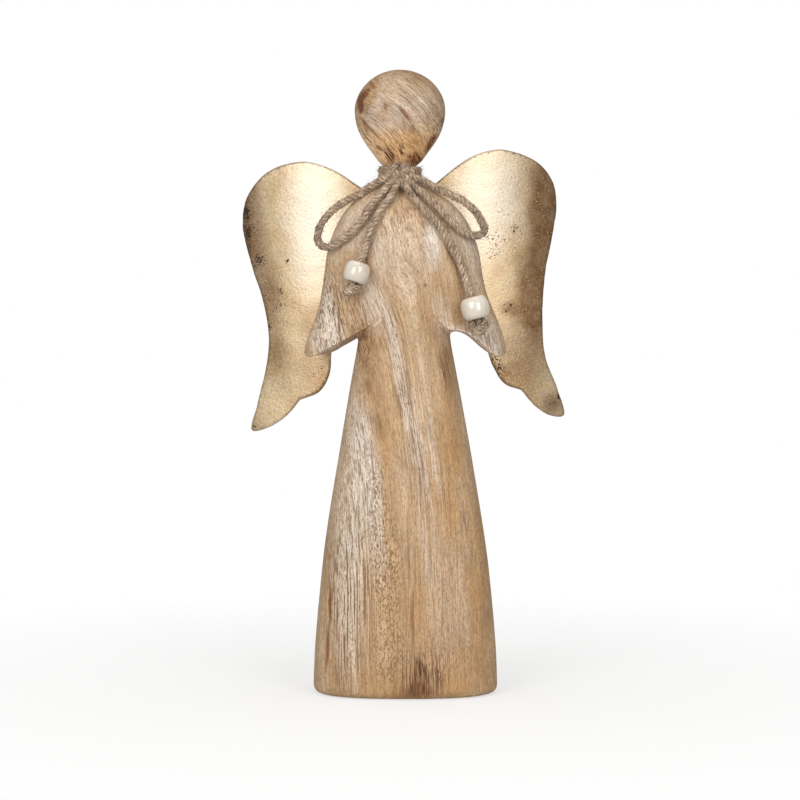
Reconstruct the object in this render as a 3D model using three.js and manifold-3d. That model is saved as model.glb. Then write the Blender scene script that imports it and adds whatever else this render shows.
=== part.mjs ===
// A carved mango-wood angel: one block of wood, a pair of gilded sheet-metal wings cut from one sheet and
// screwed to its flat back, and a twine bow at the neck with a bead and an end knot on each tail.
// +Z is up, the figure faces -Y, and the origin is the middle of the underside. Lengths are millimetres.
import * as THREE from "three";
import { mergeVertices } from "three/addons/utils/BufferGeometryUtils.js";
import Module from "manifold-3d";

const wasm = await Module();
wasm.setup();

// Driving dimensions
const figureHeight = 210;
const gap = 0.3; // between pieces that touch
const backPlane = 12.5; // the flat sawn back stands this far behind the axis
const footEase = 2.6; // rounding round the foot of the skirt
const sleeveEase = 1.8; // rounding round the lower edge of the sleeves

const wingSheet = 0.9; // thickness of the sheet
const wingSweep = 12; // how far the outer edges curl back
const wingFlatHalf = 15; // half width of the sheet's flat middle, which lies on the back
const wingTurn = 2.6; // degrees that the sheet is screwed on out of level

const screwShank = 2.8;
const screwLength = 11; // under the head
const screwHead = 5.6;
const screwHeadHeight = 1.9;
const screwSpacing = 8;
const screwRecessLength = 3.1;
const screwRecessWidth = 0.9;
const screwRecessDepth = 0.9;

const twine = 2.7; // twine diameter
const turnSpacing = 2.4; // the two turns round the neck are pressed together
const turnRise = 1.1; // of the upper turn above the narrowest place of the neck
const tiedKnot = { width: 8, depth: 5.2, height: 9.6, drop: 2.6, lean: 22 }; // drop is below the lower turn
const beadClearance = 0.45; // round the twine in a bead's bore
const beadEndShare = 0.62; // a bead's flat ends, as a share of its diameter

// The figure's free form, in percent of its height: height of the section, half width, depth to the front,
// depth to the back before the flat is sawn, and how far the section's middle stands to the right.
const upperForm = [
  [54.1, 16.3, 7.2, 8.3, 0.1],
  [55.4, 16.15, 7.15, 8.3, 0.15],
  [57.2, 15.75, 7.05, 8.2, 0.2],
  [59.5, 14.9, 6.95, 8.1, 0.25],
  [61.3, 14.2, 6.85, 8.0, 0.2],
  [64.0, 13.35, 6.7, 7.9, -0.05],
  [67.4, 12.7, 6.5, 7.8, -0.2],
  [70.9, 12.15, 6.2, 7.6, -0.2],
  [74.1, 11.1, 5.75, 7.2, -0.25],
  [77.3, 9.3, 4.95, 6.3, -0.35],
  [78.5, 8.2, 4.5, 5.8, -0.45],
  [80.1, 5.9, 3.6, 4.5, -0.6],
  [81.2, 3.8, 2.8, 3.1, -0.7],
  [82.2, 2.45, 2.2, 2.3, -0.72],
  [83.0, 2.0, 2.0, 2.0, -0.72],
  [83.9, 2.05, 2.0, 2.0, -0.72],
  [84.6, 2.6, 2.5, 2.4, -0.72],
  [85.2, 3.35, 3.2, 3.0, -0.72],
  [86.1, 4.0, 3.85, 3.6, -0.72],
  [87.9, 5.35, 5.1, 4.75, -0.72],
  [89.9, 6.5, 6.15, 5.75, -0.72],
  [91.8, 7.1, 6.7, 6.3, -0.72],
  [93.3, 7.27, 6.85, 6.45, -0.7],
];
const headWidest = 93.3; // above this the crown closes in a quarter ellipse
const neckHeight = 83.4; // the narrowest place, where the twine is tied
const skirtForm = [
  [0, 14.9, 9.5, 10, 0.16],
  [7.5, 14.6, 9.4, 10, 0.16],
  [15.2, 13.95, 9.2, 9.8, 0.16],
  [22.9, 13.1, 8.95, 9.6, 0.16],
  [30.7, 11.95, 8.6, 9.3, 0.12],
  [38.4, 10.65, 8.15, 9.0, 0.1],
  [46.1, 9.3, 7.65, 8.6, 0.05],
  [52.5, 8.15, 7.25, 8.3, 0],
  [56.4, 7.45, 7.05, 8.1, 0],
  [60.0, 7.0, 6.9, 8.0, 0.05],
  [63.5, 6.5, 6.2, 7.5, 0.05],
];
// The underside of the sleeves, in percent of the height: across, its height at the front and at the back
const sleeveFront = 6.7; // where the front height holds; the back height holds at the sawn back
const sleeveUnderside = [
  [-20, 53.4, 53.2],
  [-15.8, 53.8, 53.6],
  [-14.2, 54.6, 54.0],
  [-11.8, 56.0, 54.5],
  [-9.7, 57.0, 55.7],
  [-7.7, 58.1, 56.8],
  [-4.5, 59.9, 58.6],
  [0, 61.4, 60.3],
  [4.5, 60.6, 59.7],
  [5.6, 59.8, 59.0],
  [7.2, 58.6, 57.8],
  [8.4, 58.5, 58.0],
  [9.6, 58.2, 57.6],
  [10.8, 57.6, 56.8],
  [12.1, 56.6, 55.6],
  [13.5, 55.4, 54.5],
  [15.8, 53.8, 53.6],
  [20, 53.4, 53.2],
];
const headRoundness = 2; // exponent of a section's oval: 2 is an ellipse, more is squarer
const chestRoundness = 2.25;
const skirtRoundness = 2.5;

// The wings' outlines, in percent of the height: across from the middle of the sheet, and up. They were
// cut by hand, so the two differ a little.
const wingMiddle = -0.4; // the middle of the sheet stands this far to the right of the axis
const wingPivot = 67.7; // the sheet is turned about this height
const wingValley = [0, 76.6];
const wingBridge = [0, 68.4]; // lower edge of the sheet between the wings
const wingReach = 25; // this far out the sheet has curled back by the whole of its sweep
const wingOutlines = {
  left: {
    top: [[16.0, 86.3], [11.1, 85.05], [5.9, 81.5], wingValley],
    behind: [wingBridge, [7.4, 66.6], [11.1, 61.5], [12.1, 55.0]],
    lobe: [[12.1, 55.0], [12.65, 51.4], [14.4, 48.7], [17.7, 47.45]],
    tip: [[17.7, 47.45], [20.1, 44.9], [23.3, 43.0], [26.1, 42.5]],
    outer: [
      [16.0, 86.3], [21.6, 84.8], [25.1, 80.9], [26.0, 76.4], [24.7, 69.4],
      [23.2, 64.0], [22.5, 58.1], [23.1, 53.4], [25.0, 46.9], [26.2, 42.9],
    ],
  },
  right: {
    top: [[17.2, 86.8], [12.4, 85.9], [6.2, 81.85], wingValley],
    behind: [wingBridge, [7.6, 66.6], [11.6, 61.5], [13.5, 53.9]],
    lobe: [[13.5, 53.9], [14.2, 51.6], [16.0, 48.65], [18.8, 47.4]],
    tip: [[18.8, 47.4], [20.9, 44.7], [23.4, 42.9], [25.8, 42.7]],
    outer: [
      [17.2, 86.8], [23.1, 84.6], [25.6, 81.3], [26.05, 77.3], [25.1, 72.3],
      [23.7, 66.5], [22.85, 58.5], [23.1, 52.6], [24.9, 47.2], [26.1, 43.5],
    ],
  },
};

const percent = (value) => (value * figureHeight) / 100;
const rad = THREE.MathUtils.degToRad;
const twineRadius = twine / 2;
const boreRadius = twineRadius + beadClearance;

// Smooth value in one column of a table, at a place in its first column
function smoothAt(rows, column, place) {
  const last = rows.length - 1;
  const at = THREE.MathUtils.clamp(place, rows[0][0], rows[last][0]);
  let i = 0;
  while (i < last - 1 && at > rows[i + 1][0]) i += 1;
  const run = (k) => rows[k + 1][0] - rows[k][0];
  const slope = (k) => (rows[k + 1][column] - rows[k][column]) / run(k);
  const tangent = (k) => {
    if (k === 0) return slope(0);
    if (k === last) return slope(last - 1);
    return (slope(k - 1) * run(k) + slope(k) * run(k - 1)) / (run(k) + run(k - 1));
  };
  const t = (at - rows[i][0]) / run(i);
  const t2 = t * t;
  const t3 = t2 * t;
  return (
    (2 * t3 - 3 * t2 + 1) * rows[i][column] +
    (t3 - 2 * t2 + t) * run(i) * tangent(i) +
    (3 * t2 - 2 * t3) * rows[i + 1][column] +
    (t3 - t2) * run(i) * tangent(i + 1)
  );
}

// The sizes of a horizontal section of the head, neck, chest and sleeves, eased in at the lower edge
function upperSection(height, ease = 0) {
  const [width, front, back, shift] = [1, 2, 3, 4].map((c) => smoothAt(upperForm, c, height));
  const rise = Math.max(0, height - headWidest) / (100 - headWidest);
  const close = Math.sqrt(Math.max(0, 1 - rise * rise));
  return {
    z: percent(height),
    width: percent(width) * close - ease,
    front: percent(front) * close - ease,
    back: percent(back) * close - ease,
    shift: percent(shift),
    roundness: height > neckHeight ? headRoundness : chestRoundness,
    flat: height > neckHeight ? Infinity : backPlane - ease,
  };
}

// The sizes of a horizontal section of the skirt, eased in at the foot
function skirtSection(height, ease = 0) {
  const [width, front, back, shift] = [1, 2, 3, 4].map((c) => smoothAt(skirtForm, c, height));
  return {
    z: percent(height),
    width: percent(width) - ease,
    front: percent(front) - ease,
    back: percent(back) - ease,
    shift: percent(shift),
    roundness: skirtRoundness,
    flat: backPlane - ease,
  };
}

// The points round a section: an oval, flat where it would pass the sawn back
function sectionPoints(s, sides = 36) {
  const power = 2 / s.roundness;
  const squared = (v) => Math.sign(v) * Math.abs(v) ** power;
  return Array.from({ length: sides }, (_, k) => {
    const turn = (2 * Math.PI * (k + 0.5)) / sides;
    const across = squared(Math.cos(turn));
    const along = squared(Math.sin(turn));
    const y = along < 0 ? along * s.front : Math.min(along * s.back, s.flat);
    return new THREE.Vector3(s.shift + across * s.width, y, s.z);
  });
}

const centreOf = (ring) =>
  ring.reduce((sum, p) => sum.add(p), new THREE.Vector3()).divideScalar(ring.length);

// A closed skin over rings of points that have the same number of points, with a fan at each end
function loft(rings) {
  const sides = rings[0].length;
  const points = [...rings.flat(), centreOf(rings[0]), centreOf(rings.at(-1))];
  const faces = [];
  const at = (ring, k) => ring * sides + (k % sides);
  for (let r = 0; r + 1 < rings.length; r += 1)
    for (let k = 0; k < sides; k += 1)
      faces.push(at(r, k), at(r, k + 1), at(r + 1, k + 1), at(r, k), at(r + 1, k + 1), at(r + 1, k));
  for (let k = 0; k < sides; k += 1) {
    faces.push(at(0, k + 1), at(0, k), points.length - 2);
    faces.push(at(rings.length - 1, k), at(rings.length - 1, k + 1), points.length - 1);
  }
  return new THREE.BufferGeometry().setFromPoints(points).setIndex(faces);
}

function solid(geometry) {
  const bare = geometry.clone();
  bare.deleteAttribute("normal");
  bare.deleteAttribute("uv");
  const merged = mergeVertices(bare, 1e-3);
  return new wasm.Manifold(
    new wasm.Mesh({
      numProp: 3,
      vertProperties: merged.attributes.position.array,
      triVerts: new Uint32Array(merged.index.array),
    }),
  );
}

function geometryOf(made) {
  const mesh = made.getMesh();
  return new THREE.BufferGeometry()
    .setAttribute("position", new THREE.BufferAttribute(mesh.vertProperties, 3))
    .setIndex(new THREE.BufferAttribute(mesh.triVerts, 1));
}

// Heights from one to another in equal steps, without the last
const steps = (from, to, count) =>
  Array.from({ length: count }, (_, k) => from + ((to - from) * k) / count);

// The sections of a rounded lower edge
function easedEdge(section, height, ease) {
  const easeSteps = 3;
  return Array.from({ length: easeSteps }, (_, k) => {
    const turn = (Math.PI / 2) * (k / easeSteps);
    const rise = (ease * (1 - Math.cos(turn)) * 100) / figureHeight;
    return sectionPoints(section(height + rise, ease * (1 - Math.sin(turn))));
  });
}

const easedTop = (height, ease) => height + (ease * 100) / figureHeight;

function upperSolid() {
  const hem = upperForm[0][0];
  const crownRings = 7;
  const crown = Array.from({ length: crownRings }, (_, k) => {
    const turn = (Math.PI / 2) * ((k + 0.3) / crownRings);
    return headWidest + (100 - headWidest) * Math.sin(turn);
  });
  const [chest, shoulder, chin, top] = [61.3, 78.5, 85.2, 99.98]; // sections stand closest at the neck
  const heights = [
    ...steps(easedTop(hem, sleeveEase), chest, 6),
    ...steps(chest, shoulder, 7),
    ...steps(shoulder, chin, 9),
    ...steps(chin, headWidest, 6),
    ...crown,
    top,
  ];
  const rings = heights.map((h) => sectionPoints(upperSection(h)));
  return solid(loft([...easedEdge(upperSection, hem, sleeveEase), ...rings]));
}

function skirtSolid() {
  const top = skirtForm.at(-1)[0];
  const heights = [...steps(easedTop(0, footEase), top, 13), top];
  const rings = heights.map((h) => sectionPoints(skirtSection(h)));
  return solid(loft([...easedEdge(skirtSection, 0, footEase), ...rings]));
}

// Everything below the sleeves' underside, which slopes down from the front to the back
function belowSleeves() {
  const reach = percent(14); // past the wood, front and back
  const low = percent(45);
  const frontPlane = -percent(sleeveFront);
  const [from, to] = [sleeveUnderside[0][0], sleeveUnderside.at(-1)[0]];
  const count = 36;
  const rings = [];
  for (const across of [...steps(from, to, count), to]) {
    const front = percent(smoothAt(sleeveUnderside, 1, across));
    const back = percent(smoothAt(sleeveUnderside, 2, across));
    const heightAt = (y) => back + ((front - back) * (backPlane - y)) / (backPlane - frontPlane);
    const x = percent(across);
    rings.push([
      new THREE.Vector3(x, -reach, low),
      new THREE.Vector3(x, reach, low),
      new THREE.Vector3(x, reach, heightAt(reach)),
      new THREE.Vector3(x, -reach, heightAt(-reach)),
    ]);
  }
  return solid(loft(rings));
}

// A bar along +Y from a place on the back
function bar(diameter, x, z, from, length, sides = 14) {
  const shape = new THREE.CylinderGeometry(diameter / 2, diameter / 2, length, sides);
  return solid(shape.translate(x, from + length / 2, z));
}

// Where a point of the wing sheet comes once the sheet is turned and set on the back
function wingPlace(x, z) {
  const turn = rad(wingTurn);
  const up = z - percent(wingPivot);
  return {
    x: percent(wingMiddle) + x * Math.cos(turn) - up * Math.sin(turn),
    z: percent(wingPivot) + x * Math.sin(turn) + up * Math.cos(turn),
  };
}

const bridgeMiddle = percent((wingValley[1] + wingBridge[1]) / 2);
const screwHeights = { upper: bridgeMiddle + screwSpacing / 2, lower: bridgeMiddle - screwSpacing / 2 };
const sheetFront = backPlane + gap;
const sheetBack = sheetFront + wingSheet;

function figure() {
  let made = upperSolid().subtract(belowSleeves()).add(skirtSolid());
  for (const height of Object.values(screwHeights)) {
    const { x, z } = wingPlace(0, height);
    const depth = screwLength - wingSheet - gap; // of the hole, a gap deeper than the screw reaches
    made = made.subtract(bar(screwShank + 2 * gap, x, z, backPlane - depth, depth + 1));
  }
  return geometryOf(made);
}

// Half of the sheet: ribs from its inner edge to its outer edge, from the top of the wing to its tip
function halfWing(side, outline) {
  const curve = (points) => new THREE.SplineCurve(points.map(([x, z]) => new THREE.Vector2(x, z)));
  const { top, behind, lobe, tip, outer } = outline;
  const stretches = [[top, 6], [[wingValley, wingBridge], 2], [behind, 4], [lobe, 6], [tip, 6]];
  const inner = stretches.flatMap(([points, count]) =>
    Array.from({ length: count }, (_, k) => curve(points).getPointAt(k / count)),
  );
  const outerLine = curve(outer);
  const crowding = 1.33; // ribs stand closer together round the top of the wing than further down
  const columns = 8;
  const span = percent(wingReach) - wingFlatHalf;
  const overlap = 0.4; // the halves share this much past the middle line before they are joined
  const ribs = inner.slice(1);
  return ribs.map((from, r) => {
    const to = outerLine.getPointAt(((r + 1) / ribs.length) ** crowding);
    const front = [];
    const back = [];
    for (let c = 0; c <= columns; c += 1) {
      const across = percent(THREE.MathUtils.lerp(from.x, to.x, c / columns));
      const x = across < 1e-6 ? -overlap : across;
      const z = percent(THREE.MathUtils.lerp(from.y, to.y, c / columns));
      const out = Math.max(0, x - wingFlatHalf) / span;
      const tilt = Math.atan((2 * wingSweep * out) / span);
      const y = sheetFront + wingSweep * out * out;
      front.push(new THREE.Vector3(side * x, y, z));
      back.push(new THREE.Vector3(side * (x - wingSheet * Math.sin(tilt)), y + wingSheet * Math.cos(tilt), z));
    }
    return side < 0 ? [...front, ...back.reverse()] : [...back, ...front.reverse()];
  });
}

function wings() {
  const left = solid(loft(halfWing(-1, wingOutlines.left)));
  const right = solid(loft(halfWing(1, wingOutlines.right)));
  let made = left.add(right);
  for (const height of Object.values(screwHeights))
    made = made.subtract(bar(screwShank + 2 * gap, 0, height, backPlane - 1, wingSheet + 3));
  return geometryOf(made).translate(0, 0, -percent(wingPivot));
}

// A pan-head screw that points along -Y, with its head's underside at the origin
function screw() {
  const profile = [
    [0, -screwLength],
    [screwShank / 2, -screwLength + screwShank],
    [screwShank / 2, 0],
    [screwHead / 2, 0],
    [screwHead / 2, screwHeadHeight * 0.35],
    [screwHead * 0.38, screwHeadHeight * 0.85],
    [screwHead * 0.2, screwHeadHeight],
    [0, screwHeadHeight],
  ];
  const turned = new THREE.LatheGeometry(profile.map(([r, y]) => new THREE.Vector2(r, y)), 14);
  let made = solid(turned);
  for (const turn of [0, Math.PI / 2]) {
    const slot = new THREE.BoxGeometry(screwRecessLength, 2 * screwRecessDepth, screwRecessWidth);
    made = made.subtract(solid(slot.translate(0, screwHeadHeight, 0).rotateY(turn)));
  }
  return geometryOf(made);
}

// Twine: the loops' and tails' middle lines, from the knot outwards, chosen by hand. A tail's bead sits on
// the last point but one of its route.
const loopRoutes = {
  left: [
    [-5.8, -8.6, 173.3], [-8.3, -7.0, 172.5], [-12.0, -5.4, 170.4], [-15.6, -4.5, 168.0],
    [-20.7, -4.6, 165.3], [-24.0, -5.1, 162.8], [-26.7, -5.7, 159.9], [-28.4, -6.3, 156.9],
    [-29.1, -7.0, 154.1], [-28.5, -7.8, 151.9], [-26.9, -8.6, 150.7], [-24.6, -9.3, 150.8],
    [-21.5, -10.1, 152.6], [-18.5, -10.9, 154.6], [-15.9, -11.3, 157.1], [-13.6, -11.3, 160.2],
    [-11.8, -11.0, 163.3], [-9.7, -10.5, 166.2], [-7.6, -10.0, 168.7], [-6.0, -9.6, 170.3],
  ],
  right: [
    [3.4, -8.6, 173.3], [6.0, -7.2, 172.7], [8.3, -6.2, 171.5], [11.3, -5.2, 169.9],
    [13.6, -4.6, 168.9], [16.4, -4.4, 167.6], [19.5, -4.6, 166.1], [22.0, -5.1, 164.1],
    [24.3, -5.6, 161.6], [26.0, -6.3, 158.7], [26.8, -7.0, 156.7], [26.0, -7.8, 154.9],
    [24.0, -8.6, 154.4], [21.2, -9.4, 154.8], [18.4, -9.9, 156.4], [16.1, -10.3, 158.4],
    [13.7, -10.6, 160.9], [11.3, -10.6, 163.5], [8.9, -10.2, 166.0], [6.5, -9.9, 168.2],
    [3.8, -9.7, 170.2],
  ],
};
const tails = {
  left: {
    route: [
      [-4.3, -10.3, 167.7], [-5.6, -10.9, 165.9], [-7.8, -11.7, 163.0], [-10.2, -12.5, 158.4],
      [-11.8, -13.0, 154.1], [-13.1, -13.6, 150.2], [-14.0, -14.7, 147.6], [-14.8, -16.0, 145.4],
      [-15.8, -16.7, 142.2], [-16.9, -16.6, 138.9],
    ],
    bead: { diameter: 8.5, length: 6.8 },
    knot: { width: 5.6, length: 4.6 },
  },
  right: {
    route: [
      [2.6, -10.3, 167.4], [4.6, -11.1, 165.2], [7.1, -11.7, 162.4], [9.7, -12.1, 159.8],
      [11.7, -12.3, 157.4], [13.6, -12.4, 154.6], [15.2, -12.5, 151.5], [16.8, -12.4, 148.5],
      [18.4, -12.4, 145.2], [20.2, -12.9, 139.9], [21.4, -14.3, 136.6], [22.4, -15.6, 134.0],
      [23.4, -16.2, 130.4], [24.3, -16.0, 126.9],
    ],
    bead: { diameter: 9.5, length: 7.4 },
    knot: { width: 6.3, length: 5.0 },
  },
};
const neck = upperSection(neckHeight);
const turnRadius = neck.width + 2 * gap + twineRadius;
const turnHeights = [neck.z + turnRise, neck.z + turnRise - turnSpacing];

const vectors = (points) => points.map((p) => new THREE.Vector3(...p));

function twineTube(route, count) {
  const sides = 8;
  const section = new THREE.Shape();
  for (let k = 0; k < sides; k += 1) {
    const turn = (2 * Math.PI * k) / sides;
    section[k ? "lineTo" : "moveTo"](twineRadius * Math.cos(turn), twineRadius * Math.sin(turn));
  }
  section.closePath();
  const extrudePath = new THREE.CatmullRomCurve3(vectors(route));
  return new THREE.ExtrudeGeometry(section, { steps: count, bevelEnabled: false, extrudePath });
}

// The turns round the neck and the knot in front of them
function neckTwine() {
  const [upper, lower] = turnHeights.map((z) =>
    solid(new THREE.TorusGeometry(turnRadius, twineRadius, 8, 22).translate(neck.shift, 0, z)),
  );
  const { width, depth, height, drop, lean } = tiedKnot;
  const knot = new THREE.SphereGeometry(0.5, 14, 10).scale(width, depth, height).rotateX(-rad(lean));
  const forward = turnRadius + twineRadius + depth * 0.4;
  knot.translate(neck.shift, -forward, turnHeights[1] - drop);
  return geometryOf(upper.add(lower).add(solid(knot)));
}

// A barrel bead round the Z axis, with a bore for the twine
function bead({ diameter, length }) {
  const bulge = 2.4; // 2 is an ellipse, more is squarer
  const end = (diameter * beadEndShare) / 2;
  const profile = [[boreRadius, -length / 2]];
  for (let k = 0; k <= 8; k += 1) {
    const turn = (Math.PI * k) / 8 - Math.PI / 2;
    const up = Math.sign(turn) * Math.abs(Math.sin(turn)) ** (2 / bulge);
    const out = Math.max(0, Math.cos(turn)) ** (2 / bulge);
    profile.push([end + (diameter / 2 - end) * out, (up * length) / 2]);
  }
  profile.push([boreRadius, length / 2], [boreRadius, -length / 2]);
  return new THREE.LatheGeometry(profile.map(([r, y]) => new THREE.Vector2(r, y)), 16).rotateX(Math.PI / 2);
}

const wood = new THREE.MeshStandardMaterial({ color: "#c4a07a", roughness: 0.7, metalness: 0 });
const gilt = new THREE.MeshStandardMaterial({ color: "#d8b880", roughness: 0.35, metalness: 1 });
const jute = new THREE.MeshStandardMaterial({ color: "#9a8068", roughness: 0.95, metalness: 0 });
const glaze = new THREE.MeshStandardMaterial({ color: "#efe9dc", roughness: 0.15, metalness: 0 });
const steel = new THREE.MeshStandardMaterial({ color: "#a89a7c", roughness: 0.4, metalness: 1 });

const angel = new THREE.Group();

function piece(name, geometry, material, parent = angel) {
  const mesh = new THREE.Mesh(geometry, material);
  mesh.name = name;
  parent.add(mesh);
  return mesh;
}

function along(mesh, at, direction) {
  mesh.position.copy(at);
  mesh.quaternion.setFromUnitVectors(new THREE.Vector3(0, 0, 1), direction);
}

piece("carved_figure", figure(), wood);

const sheet = piece("wings", wings(), gilt);
sheet.position.set(percent(wingMiddle), 0, percent(wingPivot));
sheet.rotation.y = -rad(wingTurn);
for (const [name, height] of Object.entries(screwHeights)) {
  const { x, z } = wingPlace(0, height);
  piece(`wing_screw_${name}`, screw(), steel).position.set(x, sheetBack + gap, z);
}

piece("neck_twine", neckTwine(), jute);
for (const [side, route] of Object.entries(loopRoutes)) {
  piece(`bow_loop_${side}`, twineTube(route, 18), jute);
}
for (const [side, tail] of Object.entries(tails)) {
  piece(`bow_tail_${side}`, twineTube(tail.route, 14), jute);
  const points = vectors(tail.route);
  const threaded = points.at(-1).clone().sub(points.at(-3)).normalize();
  along(piece(`bead_${side}`, bead(tail.bead), glaze), points.at(-2), threaded);
  const { width, length } = tail.knot;
  const knot = new THREE.SphereGeometry(0.5, 12, 8).rotateX(Math.PI / 2).scale(width, width, length);
  const down = points.at(-1).clone().sub(points.at(-2)).normalize();
  along(piece(`end_knot_${side}`, knot, jute), points.at(-1).addScaledVector(down, gap + length / 2), down);
}

export default angel;
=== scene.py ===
# A carved mango-wood angel with gilded sheet-metal wings and a jute bow with two glazed beads.
# Everything is worked out in millimetres in the frame of the solids and turned to metres when a mesh is made.
import math
import random

import bmesh
import bpy
import numpy as np
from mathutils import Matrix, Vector, geometry, noise


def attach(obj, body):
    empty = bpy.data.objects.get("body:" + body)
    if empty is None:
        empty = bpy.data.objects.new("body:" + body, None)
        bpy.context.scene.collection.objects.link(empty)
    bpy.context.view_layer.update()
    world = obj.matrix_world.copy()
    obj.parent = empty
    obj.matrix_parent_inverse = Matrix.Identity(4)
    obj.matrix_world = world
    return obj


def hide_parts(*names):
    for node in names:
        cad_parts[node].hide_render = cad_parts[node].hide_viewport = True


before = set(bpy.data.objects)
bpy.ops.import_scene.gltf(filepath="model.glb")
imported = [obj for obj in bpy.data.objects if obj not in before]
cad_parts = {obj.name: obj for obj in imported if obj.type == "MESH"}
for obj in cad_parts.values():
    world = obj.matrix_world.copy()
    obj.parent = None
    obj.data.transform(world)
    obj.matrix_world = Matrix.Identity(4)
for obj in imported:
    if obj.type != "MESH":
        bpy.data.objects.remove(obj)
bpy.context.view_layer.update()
metre = 0.001  # one millimetre in metres
figureHeight = 210
backPlane = 12.5  # the flat sawn back
gap = 0.3  # left between pieces that lie against each other


def percent(value):
    return value * figureHeight / 100


def vec(points):
    return np.array(points, float)


def addObject(name, data):
    made = bpy.data.objects.new(name, data)
    bpy.context.scene.collection.objects.link(made)
    return made


# Camera: a long lens a little above the middle of the figure, looking slightly down

viewpoint = {
    "eye": (-1.5, -900, 150),
    "aim": (-1.5, 0, 98.95),
    "millimetresPerPixel": 0.338,  # at the figure's axis
    "framePixels": 800,
    "sensor": 36,
}


def setCamera(v):
    eye, aim = Vector(v["eye"]), Vector(v["aim"])
    lens = bpy.data.cameras.new("camera")
    lens.sensor_width = v["sensor"]
    lens.lens = (aim - eye).length / v["millimetresPerPixel"] / v["framePixels"] * v["sensor"]
    lens.clip_start, lens.clip_end = 0.05, 20
    camera = addObject("camera", lens)
    camera.location = eye * metre
    camera.rotation_euler = (aim - eye).to_track_quat("-Z", "Y").to_euler()
    bpy.context.scene.camera = camera


setCamera(viewpoint)


# Small tools for colours, nodes and meshes


def tint(hexColour):  # an sRGB hex value as a linear colour
    parts = [int(hexColour[i : i + 2], 16) / 255 for i in (1, 3, 5)]
    return [c / 12.92 if c <= 0.04045 else ((c + 0.055) / 1.055) ** 2.4 for c in parts] + [1]


def fill(owner, node, inputs):  # by name or by place: another node's socket is linked, and a value is set
    for key, value in inputs.items() if isinstance(inputs, dict) else enumerate(inputs):
        if isinstance(value, bpy.types.NodeSocket):
            owner.node_tree.links.new(value, node.inputs[key])
        else:
            node.inputs[key].default_value = value


def addNode(owner, kind, inputs=(), output=0, stops=(), **settings):
    node = owner.node_tree.nodes.new("ShaderNode" + kind)
    for key, value in settings.items():
        setattr(node, key, value)
    fill(owner, node, inputs)
    if stops:  # of a colour ramp, each a place and a hex colour
        ramp = node.color_ramp.elements
        while len(ramp) < len(stops):
            ramp.new(0.5)
        for element, (spot, colour) in zip(ramp, stops):
            element.position, element.color = spot, tint(colour)
    return node.outputs[output]


def productOf(material, sources, terms):  # each term is a source's name, and the ranges it is mapped from and to
    whole = None
    for name, *ranges in terms:
        value = addNode(material, "MapRange", [sources[name], *ranges]) if ranges else sources[name]
        whole = value if whole is None else addNode(material, "Math", [whole, value], operation="MULTIPLY")
    return whole


def paintOver(material, sources, colour, look, layers):  # each layer is its name, its paint, and where it lies
    for name, paint, *terms in layers:
        sources[name] = productOf(material, sources, terms)
        colour = addNode(material, "MixRGB", [sources[name], colour, tint(look[paint])])
    return colour


def newMaterial(name):
    material = bpy.data.materials.new(name)
    material.use_nodes = True
    return material


def setShader(material, inputs):
    fill(material, material.node_tree.nodes["Principled BSDF"], inputs)
    print("mixed", material.name)
    return material


def finished(name, points, faces, material):
    mesh = bpy.data.meshes.new(name)
    mesh.from_pydata((vec(points) * metre).tolist(), [], [list(map(int, f)) for f in faces])
    mesh.validate()
    mesh.shade_smooth()
    mesh.materials.append(material)
    return addObject(name, mesh)


def keepAttribute(piece, name, values):
    flat = vec(values)
    isVector = flat.ndim == 2
    attribute = piece.data.attributes.new(name, "FLOAT_VECTOR" if isVector else "FLOAT", "POINT")
    attribute.data.foreach_set("vector" if isVector else "value", flat.astype(np.float32).ravel())


def setPlace(piece, slot, *nodes):
    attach(piece, "root")
    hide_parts(*nodes)
    print("made", piece.name, len(piece.data.polygons), "faces")
    return piece


def madeInto(mesh, made):  # what was made with bmesh, as a mesh
    made.to_mesh(mesh)
    made.free()
    return mesh


def smoothstep(low, high, value):
    t = np.clip((value - low) / (high - low), 0, 1)
    return t * t * (3 - 2 * t)


def noiseAt(points, size, seed=0):  # smooth noise from -1 to 1 at each point, size is one wave in mm
    scaled = vec(points) / vec(size) + seed * 17.3
    return vec([noise.noise(p) for p in scaled.tolist()])


def wavesAt(points, waves):  # each wave is how far it swings in mm, its size and its seed
    return sum(swing * noiseAt(points, size, seed) for swing, size, seed in waves)


def markMasks(points, marks, wander, edge, shown=1):  # how strong each kind of mark is at each point
    masks = {}
    for kind, rows in marks.items():
        left = np.ones(len(points))
        for x0, z0, halfWidth, halfLength, lean, strength in rows:
            a = math.radians(lean)
            dx = points[:, 0] - x0 + wander * min(edge["wander"], edge["wanderShare"] * halfWidth)
            dz = points[:, 2] - z0
            across = (dx * math.cos(a) + dz * math.sin(a)) / halfWidth
            along = (dz * math.cos(a) - dx * math.sin(a)) / halfLength
            left *= 1 - strength * (1 - smoothstep(*edge["fade"], np.hypot(across, along))) * shown
        masks[kind] = 1 - left
    return masks


# Lines: a smooth line through chosen points, frames that turn as little as they can, and tubes along them


def roundAngles(count):  # evenly round a circle
    return np.linspace(0, 2 * np.pi, count, endpoint=False)


def runAlong(line):  # how far along a line each of its points is
    return np.r_[0, np.cumsum(np.linalg.norm(np.diff(line, axis=0), axis=1))]


def ringFaces(rings, around, first=0, closed=False):  # quads between rings of points, and a face on each open end
    faces = []
    for r in range(rings if closed else rings - 1):
        low, high = first + r * around, first + (r + 1) % rings * around
        faces += [(low + k, low + (k + 1) % around, high + (k + 1) % around, high + k) for k in range(around)]
    if closed:
        return faces
    last = first + (rings - 1) * around
    return faces + [tuple(reversed(range(first, first + around))), tuple(range(last, last + around))]


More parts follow.
